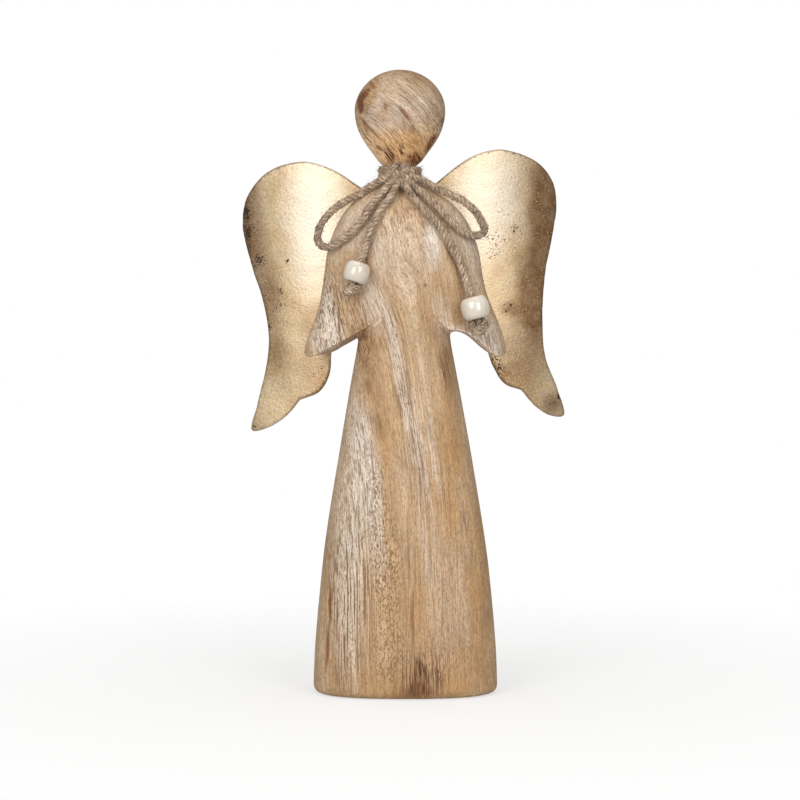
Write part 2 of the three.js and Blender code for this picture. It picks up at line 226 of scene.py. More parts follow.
def curveBetween(t, start, leaving, end, reaching):  # part t of the way, with the slopes it leaves and reaches
    t2, t3 = t * t, t**3
    first, last = 2 * t3 - 3 * t2 + 1, 3 * t2 - 2 * t3
    return first * start + (t3 - 2 * t2 + t) * leaving + last * end + (t3 - t2) * reaching


def smoothLine(points, spacing, between=24):
    p = vec(points)
    p = np.vstack([2 * p[0] - p[1], p, 2 * p[-1] - p[-2]])
    dense = []
    for a, b, c, d in zip(p, p[1:], p[2:], p[3:]):
        k1, k2, k3 = (max(1e-3, float(np.linalg.norm(v)) ** 0.5) for v in (b - a, c - b, d - c))
        m1 = c - b + k2 * ((b - a) / k1 - (c - a) / (k1 + k2))
        m2 = c - b + k2 * ((d - c) / k3 - (d - b) / (k2 + k3))
        dense += [curveBetween(t, b, m1, c, m2) for t in np.linspace(0, 1, between, endpoint=False)]
    return spacedLine(vec(dense + [p[-2]]), spacing)


def spacedLine(points, spacing):
    run = runAlong(points)
    count = max(3, int(round(run[-1] / spacing)) + 1)
    return np.column_stack([np.interp(np.linspace(0, run[-1], count), run, points[:, k]) for k in range(3)])


def unit(v):
    return v / np.maximum(np.linalg.norm(v, axis=-1, keepdims=True), 1e-12)


def framesAlong(line, closed=False):
    if closed:
        tangents = unit(np.roll(line, -1, axis=0) - np.roll(line, 1, axis=0))
    else:
        tangents = unit(np.gradient(line, axis=0))
    side = np.cross(tangents[0], (0, 0, 1.0))
    if np.linalg.norm(side) < 0.2:
        side = np.cross(tangents[0], (0, 1.0, 0))
    sides = [unit(side)]
    for t in tangents[1:]:
        sides.append(unit(sides[-1] - t * float(sides[-1] @ t)))
    if closed:  # spread what the frame has turned on the way round, so that the ends meet
        last = unit(sides[-1] - tangents[0] * float(sides[-1] @ tangents[0]))
        over = math.atan2(float(np.cross(last, sides[0]) @ tangents[0]), float(last @ sides[0]))
        share = over * np.arange(len(line)) / len(line)
        sides, ups = vec(sides), np.cross(tangents, vec(sides))
        sides = np.cos(share)[:, None] * sides + np.sin(share)[:, None] * ups
    sides = vec(sides)
    return tangents, sides, np.cross(tangents, sides)


class MeshParts:
    def __init__(self):
        self.points, self.faces, self.lay, self.count = [], [], [], 0

    def addTube(self, line, radii, around, closed=False, strand=0.0, ridge=0.0, ridges=5, twist=0.0):
        _, sides, ups = framesAlong(line, closed)
        n = len(line)
        run = runAlong(line)
        if closed:
            whole = run[-1] + np.linalg.norm(line[0] - line[-1])
            twist = 2 * np.pi * round(twist * whole / 2 / np.pi) / whole
        turn = roundAngles(around)
        angle = turn[None, :] + (twist * run)[:, None]
        wave = 1 - ridge * (0.5 + 0.5 * np.cos(ridges * turn))[None, :]
        radius = np.broadcast_to(vec(radii), (n,))[:, None] * wave
        rings = line[:, None] + radius[..., None] * (
            np.cos(angle)[..., None] * sides[:, None] + np.sin(angle)[..., None] * ups[:, None]
        )
        self.points.append(rings.reshape(-1, 3))
        lay = np.empty((n, around, 3))  # where a point is within its strand, and how far along it
        lay[..., 0] = radius * np.cos(turn)
        lay[..., 1] = radius * np.sin(turn)
        lay[..., 2] = run[:, None] + 37 * strand  # each strand shows other fibres
        self.lay.append(lay.reshape(-1, 3))
        self.faces += ringFaces(n, around, self.count, closed)
        self.count += n * around

    def finish(self, name, material):
        piece = finished(name, np.vstack(self.points), self.faces, material)
        keepAttribute(piece, "lay", np.vstack(self.lay))
        return piece


# Jute twine: three strands of bast fibre laid together, grey-brown, dull, and hairy with loose fibre ends

juteLook = {
    "shade": "#3b291b",  # between the fibres
    "body": "#ae9379",
    "light": "#e3cfb4",
    "fibreWidth": 0.15,  # real fibres are 0.02 to 0.1 mm, too fine to show, so they are drawn coarser
    "fibreLength": 3.5,
    "patchesPerMetre": 520,  # darker and lighter patches, about 2 mm long
    "worn": [("patches", 0.35, 0.65, 0.72, 1.22), ("away", 0.021, 0.0275, 1, 0.72)],  # painted shade: the twine's outer bends, beyond about 21 mm from the middle, are darkened
    "roughness": 0.9,
    "bump": {"Strength": 0.6, "Distance": 0.14 * metre},
}


def spunJute(look):
    material = newMaterial("spunJuteTwine")
    place = addNode(material, "TexCoord", output="Object")
    lay = addNode(material, "Attribute", output="Vector", attribute_name="lay")
    width, length = look["fibreWidth"], look["fibreLength"]
    stretched = addNode(material, "VectorMath", [lay, (1 / width, 1 / width, 1 / length)], operation="MULTIPLY")
    fibres = addNode(material, "TexNoise", {"Vector": stretched, "Scale": 1, "Detail": 3, "Roughness": 0.6})
    sources = {
        "patches": addNode(material, "TexNoise", {"Vector": place, "Scale": look["patchesPerMetre"], "Detail": 3}),
        "away": addNode(material, "Math", [addNode(material, "SeparateXYZ", [place])], operation="ABSOLUTE"),
    }
    colour = addNode(
        material, "ValToRGB", [fibres], stops=[(0.33, look["shade"]), (0.49, look["body"]), (0.66, look["light"])]
    )
    # the patches vary the tone at random, and painted shade darkens the loops' outer bends
    worn = productOf(material, sources, look["worn"])
    return setShader(material, {
        "Base Color": addNode(material, "VectorMath", {0: colour, "Scale": worn}, operation="SCALE"),
        "Normal": addNode(material, "Bump", {**look["bump"], "Height": fibres}),
        "Roughness": look["roughness"],
        "Specular IOR Level": 0.25,
        "Sheen Weight": 0.25,
        "Sheen Roughness": 0.5,
    })


jute = spunJute(juteLook)

twine = {
    "diameter": 2.7,
    "strands": 3,
    "strandShare": 0.243,  # radius of a strand, as a share of the twine's diameter
    "turnLength": 5.2,  # one strand goes round the twine in this length
    "step": 0.34,
    "around": 12,
    "sway": (0.08, 0.9, 2.1),  # how unevenly a strand lies: depth as a share, pace, and shift to the next strand
    "swell": [(0.09, 1.7, 1), (0.05, 4.3, 2)],  # how its thickness varies, likewise
    "furrows": 0.2,  # depth of the furrows between its fibres, as a share of its radius
    "fibreTwist": -0.55,  # of the fibres within a strand, against the twine's own
    "yarnsPerMm": 1.9,  # loose yarns that lie on the strands
    "yarnRadius": 0.12,
    "yarnThickness": (0.5, 1.1),  # from one yarn to the next, as a share of that radius
    "yarnTaper": (3, 0.3),  # how fast it thickens from its ends, and the share that its ends have
    "yarnLength": (3, 10),
    "yarnPitch": (0.75, 1.3),  # as a share of the strands'
    "yarnSeat": 0.435,  # how far out the yarns lie, as a share of the diameter
    "yarnBow": (-0.05, 0.12),  # how far they sink and rise from there
    "yarnAround": 5,
    "hairsPerMm": 6,
    "hairRadius": 0.042,
    "hairTip": 0.35,  # as a share of that radius
    "hairLength": (1.0, 3.8),
    "hairLift": 1.7,  # how far a hair may stand off the twine
    "hairRise": (0.1, 1),  # from one hair to the next, squared so that most lie low
    "hairSeat": 0.43,
    "hairCurl": (-0.5, 0.5),  # to the side, as a share of its length
    "hairBend": (0.25, 2.2),  # how much it slows along the twine, and how far it turns outwards, in radians
    "hairPoints": 6,
}
anyTurn = (0, 6.28)  # radians
anyStrand = (0, 9)  # so that no two yarns show the same fibres


def addTwine(parts, line, draw, diameter=twine["diameter"], closed=False, loose=1.0):
    frames = framesAlong(line, closed)
    _, sides, ups = frames
    run = runAlong(line)
    whole = run[-1] + (np.linalg.norm(line[0] - line[-1]) if closed else 0)
    turns = whole / twine["turnLength"] * (twine["diameter"] / diameter)
    if closed:
        turns = round(turns)
    strandRadius = diameter * twine["strandShare"]
    offset = diameter / 2 - strandRadius

    def wound(places, angle, out):
        return line[places] + out[:, None] * (
            np.cos(angle)[:, None] * sides[places] + np.sin(angle)[:, None] * ups[places]
        )

    def uneven(k, waves):
        share = 1
        for depth, pace, shift in waves:
            share = share + depth * np.sin(run * pace + k * shift)
        return np.ones(len(line)) if closed else share

    phase = draw.uniform(*anyTurn)
    everywhere = np.arange(len(line))
    for k in range(twine["strands"]):
        angle = 2 * np.pi * (turns * run / whole + k / twine["strands"]) + phase
        lying = wound(everywhere, angle, offset * uneven(k, [twine["sway"]]))
        parts.addTube(
            lying, strandRadius * uneven(k, twine["swell"]), twine["around"], closed,
            strand=k + draw.uniform(*anyStrand), ridge=twine["furrows"], twist=twine["fibreTwist"],
        )
    for _ in range(int(whole * twine["yarnsPerMm"] * loose)):
        count = min(len(line) - 1, int(draw.uniform(*twine["yarnLength"]) / (whole / len(line))))
        first = draw.randrange(0, len(line) - count)
        places = np.arange(first, first + count, 2)
        share = np.linspace(0, 1, len(places))
        pitch = turns / whole * draw.uniform(*twine["yarnPitch"])
        angle = 2 * np.pi * pitch * (run[places] - run[first]) + draw.uniform(*anyTurn)
        bow = draw.uniform(*twine["yarnBow"]) * np.sin(share * np.pi * draw.choice([1, 2, 3]))
        out = diameter * (twine["yarnSeat"] + bow)
        thickening, least = twine["yarnTaper"]
        taper = np.clip(np.sin(share * np.pi) * thickening, least, 1)
        radii = twine["yarnRadius"] * draw.uniform(*twine["yarnThickness"]) * taper
        parts.addTube(wound(places, angle, out), radii, twine["yarnAround"], strand=draw.uniform(*anyStrand))
    for _ in range(int(whole * twine["hairsPerMm"] * loose)):
        addHair(parts, line, frames, draw, diameter)


def addHair(parts, line, frames, draw, diameter):
    tangents, sides, ups = frames
    i = draw.randrange(1, len(line) - 1)
    turn = draw.uniform(*anyTurn)
    out = math.cos(turn) * sides[i] + math.sin(turn) * ups[i]
    over = np.cross(tangents[i], out)
    long = draw.uniform(*twine["hairLength"])
    lift = draw.uniform(*twine["hairRise"]) ** 2 * twine["hairLift"]
    curl = draw.uniform(*twine["hairCurl"]) * long
    way = tangents[i] * draw.choice([-1, 1])
    root = line[i] + out * (diameter * twine["hairSeat"])
    slow, bend = twine["hairBend"]
    t = np.linspace(0, 1, twine["hairPoints"])[:, None]
    hair = root + way * long * t * (1 - slow * t) + out * lift * np.sin(t * bend) + over * curl * t**2
    away = np.linalg.norm(line[:, None] - hair[None, :], axis=2).min(axis=0).max()
    if away <= diameter / 2 + twine["hairLift"]:
        radii = twine["hairRadius"] * np.linspace(1, twine["hairTip"], twine["hairPoints"])
        parts.addTube(hair, radii, 3, strand=draw.uniform(*anyStrand))


# The bow: the middle lines of its loops and tails, as the solids have them, from the knot outwards

bowRoutes = {
    "bow_loop_left": [
        (-5.8, -8.6, 173.3), (-8.3, -7.0, 172.5), (-12.0, -5.4, 170.4), (-15.6, -4.5, 168.0),
        (-20.7, -4.6, 165.3), (-24.0, -5.1, 162.8), (-26.7, -5.7, 159.9), (-28.4, -6.3, 156.9),
        (-29.1, -7.0, 154.1), (-28.5, -7.8, 151.9), (-26.9, -8.6, 150.7), (-24.6, -9.3, 150.8),
        (-21.5, -10.1, 152.6), (-18.5, -10.9, 154.6), (-15.9, -11.3, 157.1), (-13.6, -11.3, 160.2),
        (-11.8, -11.0, 163.3), (-9.7, -10.5, 166.2), (-7.6, -10.0, 168.7), (-6.0, -9.6, 170.3),
    ],
    "bow_loop_right": [
        (3.4, -8.6, 173.3), (6.0, -7.2, 172.7), (8.3, -6.2, 171.5), (11.3, -5.2, 169.9),
        (13.6, -4.6, 168.9), (16.4, -4.4, 167.6), (19.5, -4.6, 166.1), (22.0, -5.1, 164.1),
        (24.3, -5.6, 161.6), (26.0, -6.3, 158.7), (26.8, -7.0, 156.7), (26.0, -7.8, 154.9),
        (24.0, -8.6, 154.4), (21.2, -9.4, 154.8), (18.4, -9.9, 156.4), (16.1, -10.3, 158.4),
        (13.7, -10.6, 160.9), (11.3, -10.6, 163.5), (8.9, -10.2, 166.0), (6.5, -9.9, 168.2),
        (3.8, -9.7, 170.2),
    ],
    "bow_tail_left": [
        (-4.3, -10.3, 167.7), (-5.6, -10.9, 165.9), (-7.8, -11.7, 163.0), (-10.2, -12.5, 158.4),
        (-11.8, -13.0, 154.1), (-13.1, -13.6, 150.2), (-14.0, -14.7, 147.6), (-14.8, -16.0, 145.4),
        (-15.8, -16.7, 142.2), (-16.9, -16.6, 138.9),
    ],
    "bow_tail_right": [
        (2.6, -10.3, 167.4), (4.6, -11.1, 165.2), (7.1, -11.7, 162.4), (9.7, -12.1, 159.8),
        (11.7, -12.3, 157.4), (13.6, -12.4, 154.6), (15.2, -12.5, 151.5), (16.8, -12.4, 148.5),
        (18.4, -12.4, 145.2), (20.2, -12.9, 139.9), (21.4, -14.3, 136.6), (22.4, -15.6, 134.0),
        (23.4, -16.2, 130.4), (24.3, -16.0, 126.9),
    ],
}


def makeBow():
    made = {}
    for seed, (name, route) in enumerate(bowRoutes.items()):
        parts = MeshParts()
        addTwine(parts, smoothLine(route, twine["step"]), random.Random(40 + seed))
        made[name] = setPlace(parts.finish(f"{name}_twine", jute), "twine", name)
    return made


bow = makeBow()


# Beads: small glazed barrels threaded on the tails, each held by a wrapped knot

glazeLook = {
    "rim": "#cabda8",
    "body": "#d3c9b9",
    "cloud": "#dbd3c6",
    "cloudSize": 4.5,
    "roughness": 0.2,
    "bump": {"Strength": 0.15, "Distance": 0.1 * metre},
    "depth": (0.8 * metre, 0.6 * metre, 0.4 * metre),  # how deep red, green and blue light go into it
}


def creamGlaze(look):
    # Glazed stoneware: a milky cream coat of glass that pools unevenly, with small sharp highlights
    material = newMaterial("creamGlazedStoneware")
    place = addNode(material, "TexCoord", output="Object")
    clouds = addNode(material, "TexNoise", {"Vector": place, "Scale": 1000 / look["cloudSize"], "Detail": 2})
    return setShader(material, {
        "Base Color": addNode(
            material, "ValToRGB", [clouds], stops=[(0.25, look["rim"]), (0.45, look["body"]), (0.65, look["cloud"])]
        ),
        "Normal": addNode(material, "Bump", {**look["bump"], "Height": clouds}),
        "Roughness": look["roughness"],
        "Coat Weight": 0.5,
        "Coat Roughness": 0.08,
        "Subsurface Weight": 0.15,
        "Subsurface Radius": look["depth"],
        "Subsurface Scale": 1,
    })


glaze = creamGlaze(glazeLook)

tailEnds = {
    "left": {"bead": (8.5, 6.8), "knot": (5.6, 4.6)},  # diameter and length of each
    "right": {"bead": (9.5, 7.4), "knot": (6.3, 5.0)},
}
beadForm = {
    "bore": twine["diameter"] / 2 + 0.45,
    "lip": 0.12,  # how much wider the bore opens at the ends
    "lipDepths": (0.5, 0.15),  # where it begins to open, and where it is open
    "endShare": 0.56,  # the flat ends, as a share of the diameter
    "roundness": 2.25,
    "steps": 33,
    "around": 64,
    "unevenness": 0.012,  # pressed and glazed by hand
}
endKnot = {
    "twine": 2.1,  # the twine is pulled thin where it is knotted
    "turns": 2.3,
    "lean": 0.35,
    "start": 0.6,  # where the turns begin, and where they lean most, in radians
    "leanStart": 0.8,
    "steps": 90,
    "core": 2.0,  # thickness of the twine inside the turns
    "coreReach": (0.4, 0.1),  # how far it stands out of them above and below
    "coreSteps": 12,
}


def aimed(points, at, direction):  # turns points made round the Z axis to a direction and moves them to a place
    turn = Vector((0, 0, 1)).rotation_difference(Vector(direction)).to_matrix()
    return vec(points) @ vec(turn).T + vec(at)


def makeBead(name, at, direction, diameter, length, seed):
    b = beadForm
    end, power = diameter * b["endShare"] / 2, 2 / b["roundness"]
    deep, shallow = b["lipDepths"]
    profile = [(b["bore"], -length / 2 + deep), (b["bore"] + b["lip"], -length / 2 + shallow)]
    for turn in np.linspace(-np.pi / 2, np.pi / 2, b["steps"]):
        up = math.copysign(abs(math.sin(turn)) ** power, turn)
        out = max(0, math.cos(turn)) ** power
        profile.append((end + (diameter / 2 - end) * out, up * length / 2))
    profile += [(r, -z) for r, z in profile[1::-1]]
    rings = [[(r * math.cos(a), r * math.sin(a), z) for a in roundAngles(b["around"])] for r, z in profile]
    points = vec(rings).reshape(-1, 3)
    points *= 1 + b["unevenness"] * noiseAt(points, (4, 4, 4), seed)[:, None]
    return finished(name, aimed(points, at, direction), ringFaces(len(profile), b["around"], closed=True), glaze)


def makeEndKnot(side, top, down, width, length, seed):
    e = endKnot
    radius = (width - e["twine"]) / 2
    t = np.linspace(0, 1, e["steps"])
    angle = 2 * np.pi * e["turns"] * t + e["start"]
    rise = (t - 0.5) * (length - e["twine"]) + e["lean"] * radius * np.cos(angle + e["leanStart"])
    coil = np.column_stack([radius * np.cos(angle), radius * np.sin(angle), rise])
    above, below = e["coreReach"]
    core = np.zeros((e["coreSteps"], 3))
    core[:, 2] = np.linspace(-length / 2 - above, length / 2 + below, e["coreSteps"])
    middle = top + down * (gap + length / 2)
    parts = MeshParts()
    draw = random.Random(70 + seed)
    addTwine(parts, aimed(coil, middle, down), draw, diameter=e["twine"], loose=0.5)
    addTwine(parts, aimed(core, middle, down), draw, diameter=e["core"], loose=0.3)
    return setPlace(parts.finish(f"end_knot_{side}_twine", jute), "twine", f"end_knot_{side}")


def declareTwine(route, spacing):
    path = smoothLine(route, spacing)


def makeTailEnds():
    for seed, (side, sizes) in enumerate(tailEnds.items()):
        route = vec(bowRoutes[f"bow_tail_{side}"])
        bead = makeBead(f"bead_{side}_glazed", route[-2], unit(route[-1] - route[-3]), *sizes["bead"], seed)
        setPlace(bead, "bead_glaze", f"bead_{side}")
        knot = makeEndKnot(side, route[-1], unit(route[-1] - route[-2]), *sizes["knot"], seed)
        declareTwine(route, 1.5)


makeTailEnds()
for side in tailEnds:
    declareTwine(bowRoutes[f"bow_loop_{side}"], 2.2)


# Two turns round the neck, and the knot of the bow in front of them

neckTurns = {
    "middle": (-1.512, 0.0),
    "radius": 6.15,
    "heights": (176.3, 174.4),
    "wobble": 0.12,
    "knotTwine": 2.45,  # the twine is pulled a little thinner in the knot
}
knotWraps = [  # from a loop's or a tail's end, up over the turns and in behind them
    [(-5.8, -8.6, 173.3), (-4.9, -8.9, 174.6), (-3.9, -8.7, 176.2), (-2.9, -7.4, 177.5), (-2.4, -5.4, 177.6)],
    [(3.4, -8.6, 173.3), (2.0, -9.1, 174.4), (0.7, -9.1, 175.8), (-0.2, -7.8, 177.4), (-0.6, -5.6, 177.6)],
    [(-6.0, -9.6, 170.3), (-4.6, -10.3, 172.0), (-3.0, -10.8, 173.5), (-1.0, -10.6, 174.8), (0.8, -9.4, 175.6),
     (2.6, -7.4, 175.6)],
    [(3.8, -9.7, 170.2), (2.2, -10.7, 171.9), (0.4, -11.3, 173.5), (-1.8, -11.1, 174.7), (-3.8, -9.6, 175.4),
     (-5.4, -7.4, 175.3)],
    [(-4.3, -10.3, 167.7), (-3.4, -10.9, 169.8), (-2.3, -11.3, 171.6), (-0.8, -11.3, 172.8), (0.8, -9.8, 172.6),
     (1.2, -8, 171.4)],
    [(2.6, -10.3, 167.4), (1.3, -11.2, 169.5), (0.0, -11.9, 171.3), (-1.8, -12.1, 172.4), (-3.6, -10.8, 172.2),
     (-4.2, -8.6, 171.2)],
]


def makeNeckTwine():
    n = neckTurns
    parts = MeshParts()
    draw = random.Random(11)
    a = roundAngles(120)
    x, y = n["middle"][0] + n["radius"] * np.cos(a), n["middle"][1] + n["radius"] * np.sin(a)
    for k, height in enumerate(n["heights"]):
        ring = np.column_stack([x, y, height + n["wobble"] * np.sin(3 * a + k)])
        addTwine(parts, ring, draw, closed=True, loose=1.6)
    for wrap in knotWraps:
        addTwine(parts, smoothLine(wrap, twine["step"]), draw, diameter=n["knotTwine"], loose=1.2)
    setPlace(parts.finish("neck_and_knot_twine", jute), "twine", "neck_twine")


makeNeckTwine()


# The wood: one block of mango, carved, sanded and limed. Its sections, in percent of the height: height, half
# width, depth to the front, depth to the back before the flat is sawn, and how far its middle stands to the right.

upperForm = [
    (54.1, 16.3, 7.2, 8.3, 0.1), (55.4, 16.15, 7.15, 8.3, 0.15), (57.2, 15.75, 7.05, 8.2, 0.2),
    (59.5, 14.9, 6.95, 8.1, 0.25), (61.3, 14.2, 6.85, 8.0, 0.2), (64.0, 13.35, 6.7, 7.9, -0.05),
    (67.4, 12.7, 6.5, 7.8, -0.2), (70.9, 12.15, 6.2, 7.6, -0.2), (74.1, 11.1, 5.75, 7.2, -0.25),
    (77.3, 9.3, 4.95, 6.3, -0.35), (78.5, 8.2, 4.5, 5.8, -0.45), (80.1, 6.25, 3.75, 4.5, -0.6),
    (81.2, 4.6, 3.1, 3.1, -0.7), (82.2, 2.75, 2.3, 2.3, -0.72), (83.0, 2.0, 2.0, 2.0, -0.72),
    (83.9, 2.05, 2.0, 2.0, -0.72), (84.6, 2.6, 2.5, 2.4, -0.72), (85.2, 3.35, 3.2, 3.0, -0.72),
    (86.1, 4.0, 3.85, 3.6, -0.72), (87.9, 5.35, 5.1, 4.75, -0.72), (89.9, 6.5, 6.15, 5.75, -0.72),
    (91.8, 7.1, 6.7, 6.3, -0.72), (93.3, 7.27, 6.85, 6.45, -0.7),
]
headWidest = 93.3  # above this the crown closes in a quarter ellipse
neckHeight = 83.4
skirtForm = [
    (0, 14.9, 9.5, 10, 0.16), (7.5, 14.6, 9.4, 10, 0.16), (15.2, 13.95, 9.2, 9.8, 0.16),
    (22.9, 13.1, 8.95, 9.6, 0.16), (30.7, 11.95, 8.6, 9.3, 0.12), (38.4, 10.65, 8.15, 9.0, 0.1),
    (46.1, 9.3, 7.65, 8.6, 0.05), (52.5, 8.15, 7.25, 8.3, 0), (56.4, 7.45, 7.05, 8.1, 0),
    (60.0, 7.0, 6.9, 8.0, 0.05), (63.5, 6.5, 6.2, 7.5, 0.05),
]
sleeveFront = 6.7  # where the front height of the sleeves' underside holds
sleeveUnderside = [  # across, height at the front, height at the sawn back
    (-20, 53.4, 53.2), (-15.8, 53.8, 53.6), (-14.2, 54.6, 54.0), (-11.8, 56.0, 54.5), (-9.7, 57.0, 55.7),
    (-7.7, 58.1, 56.8), (-4.5, 59.9, 58.6), (0, 61.4, 60.3), (4.5, 60.6, 59.7), (5.6, 59.8, 59.0),
    (7.2, 58.6, 57.8), (8.4, 58.5, 58.0), (9.6, 58.2, 57.6), (10.8, 57.6, 56.8), (12.1, 56.6, 55.6),
    (13.5, 55.4, 54.5), (15.8, 53.8, 53.6), (20, 53.4, 53.2),
]
figureBody = {
    "footEase": 2.6,
    "sleeveEase": 1.8,
    "around": 132,
    "upperRings": 170,
    "crownRings": 40,
    "skirtRings": 130,
    "sleeveCuts": 161,  # across the sleeves' underside
    "voxel": 0.635,
    "relief": [  # along the grain: slow waves left by the rasp and the sanding belt, and fine fibres
        (0.10, (9, 9, 34), 5), (0.035, (1.7, 1.7, 16), 6),
    ],
    "flatFoot": 1.5,  # the relief fades out over this height, so that the underside stays flat
    "grooveDepth": 0.12,  # of the charred grooves under the head
    "resinDepth": 0.1,
    "skirtRoundness": 2.5,  # exponent of a section's oval: 2 is an ellipse, more is squarer
    "chestRoundness": 2.25,
    "headRoundness": 2,
    "neckBlend": 1.5,  # percent of the height above and below the neck over which that changes
    "screwHoles": [(-1.479, 156.236), (-1.116, 148.244)],
    "holeRadius": 1.7,
    "holeDepth": 9.8,
    "holeAround": 24,
}


def smoothAt(rows, column, spot):
    last = len(rows) - 1
    spot = min(max(spot, rows[0][0]), rows[last][0])
    i = 0
    while i < last - 1 and spot > rows[i + 1][0]:
        i += 1

    def run(k):
        return rows[k + 1][0] - rows[k][0]

    def slope(k):
        return (rows[k + 1][column] - rows[k][column]) / run(k)

    def tangent(k):
        if k in (0, last):
            return slope(0 if k == 0 else last - 1)
        return (slope(k - 1) * run(k) + slope(k) * run(k - 1)) / (run(k) + run(k - 1))

    t, leaving, reaching = (spot - rows[i][0]) / run(i), run(i) * tangent(i), run(i) * tangent(i + 1)
    return curveBetween(t, rows[i][column], leaving, rows[i + 1][column], reaching)


def sectionRing(form, height, ease):
    width, front, back, shift = (percent(smoothAt(form, c, height)) for c in (1, 2, 3, 4))
    rise = max(0, height - headWidest) / (100 - headWidest)
    close = math.sqrt(max(0, 1 - rise * rise))
    blend = figureBody["neckBlend"]
    headShare = float(smoothstep(neckHeight - blend, neckHeight + blend, height))
    chest, head = figureBody["chestRoundness"], figureBody["headRoundness"]
    roundness = figureBody["skirtRoundness"] if form is skirtForm else chest + (head - chest) * headShare
    turn = roundAngles(figureBody["around"])
    across, along = (np.sign(s) * np.abs(s) ** (2 / roundness) for s in (np.cos(turn), np.sin(turn)))
    y = np.where(along < 0, along * (front * close - ease), along * (back * close - ease))
    if height < neckHeight:
        y = np.minimum(y, backPlane - ease)
    x = shift + across * (width * close - ease)
    return np.column_stack([x, y, np.full(len(x), percent(height))])


def loftPiece(name, rings):
    mesh = bpy.data.meshes.new(name)
    mesh.from_pydata(np.vstack(rings).tolist(), [], ringFaces(len(rings), len(rings[0])))
    mesh.validate()
    return addObject(name, mesh)


def easedHeights(low, ease, top, count):  # heights and eases: rounded at the lower edge, then even up to the top
    turns = np.linspace(0, np.pi / 2, 7)[:-1]
    rounded = [(low + ease * (1 - math.cos(t)) * 100 / figureHeight, ease * (1 - math.sin(t))) for t in turns]
    return rounded + [(h, 0) for h in np.linspace(low + ease * 100 / figureHeight, top, count)]


def settle(piece):  # makes what a piece's modifiers give its own mesh
    graph = bpy.context.evaluated_depsgraph_get()
    made = bpy.data.meshes.new_from_object(piece.evaluated_get(graph))
    piece.modifiers.clear()
    piece.data = made
    return piece


def boolean(piece, other, operation):
    cut = piece.modifiers.new(operation, "BOOLEAN")
    cut.operation, cut.solver, cut.object = operation, "EXACT", other
    settle(piece)
    bpy.data.objects.remove(other)


def carveFigure():
    f = figureBody
    turns = np.linspace(0, np.pi / 2 - 0.02, f["crownRings"])
    spots = easedHeights(upperForm[0][0], f["sleeveEase"], headWidest, f["upperRings"])[:-1]
    spots += [(headWidest + (100 - headWidest) * math.sin(t), 0) for t in turns]
    upper = loftPiece("upper", [sectionRing(upperForm, h, e) for h, e in spots])
    skirtSpots = easedHeights(0, f["footEase"], skirtForm[-1][0], f["skirtRings"])
    skirt = loftPiece("skirt", [sectionRing(skirtForm, h, e) for h, e in skirtSpots])
    reach, low, frontPlane = percent(14), percent(45), -percent(sleeveFront)  # beyond the wood on all sides
    rings = []
    for across in np.linspace(sleeveUnderside[0][0], sleeveUnderside[-1][0], f["sleeveCuts"]):
        front, back = (percent(smoothAt(sleeveUnderside, c, across)) for c in (1, 2))
        grade = (front - back) / (backPlane - frontPlane)
        heights = [back + grade * (backPlane - y) for y in (reach, -reach)]
        x = percent(across)
        rings.append(vec([(x, -reach, low), (x, reach, low), (x, reach, heights[0]), (x, -reach, heights[1])]))
    boolean(upper, loftPiece("belowSleeves", rings), "DIFFERENCE")
    boolean(upper, skirt, "UNION")
    for x, z in f["screwHoles"]:
        radius, depths = f["holeRadius"], (backPlane + 1, backPlane - f["holeDepth"])
        ring = [(x + radius * math.cos(a), z + radius * math.sin(a)) for a in roundAngles(f["holeAround"])]
        boolean(upper, loftPiece("hole", [vec([(px, y, pz) for px, pz in ring]) for y in depths]), "DIFFERENCE")
    skin = upper.modifiers.new("skin", "REMESH")
    skin.mode, skin.voxel_size = "VOXEL", f["voxel"]
    settle(upper)
    return upper


def softened(mesh, times, share=0.5):  # rounds the edges a little by drawing each point towards its neighbours
    points = np.empty(len(mesh.vertices) * 3)
    mesh.vertices.foreach_get("co", points)
    points = points.reshape(-1, 3)
    edges = np.empty(len(mesh.edges) * 2, int)
    mesh.edges.foreach_get("vertices", edges)
    a, b = edges.reshape(-1, 2).T
    near = np.bincount(a, minlength=len(points)) + np.bincount(b, minlength=len(points))
    for _ in range(times):
        total = np.zeros_like(points)
        for k in range(3):
            total[:, k] = np.bincount(a, points[b, k], len(points)) + np.bincount(b, points[a, k], len(points))
        points = points + share * (total / near[:, None] - points)
    return points


# How the grain runs. Below the neck it leans to the right going down, in degrees by height in percent. In the
# head it runs in arcs round a middle outside the wood, because the block was sawn close to a crotch.
grainLean = [(0, 1), (15, 1), (30, 4), (45, 9), (58, 12), (70, 13), (84, 8)]
headArcs = (-30.0, 165.0)
headArcLength = 40  # along the grain, in mm for each radian of those arcs
grainWaves = [(1.1, (22, 30, 55), 2), (0.3, (6, 12, 14), 3)]
grainKnots = [((0.8, 141.5), 5.2), ((-12, 108), 1.6)]  # the lines part round a small knot: middle and radius
knotStretch, knotSoftness = 0.55, 1.35  # less than 1 draws a knot out along the grain, and more blurs it
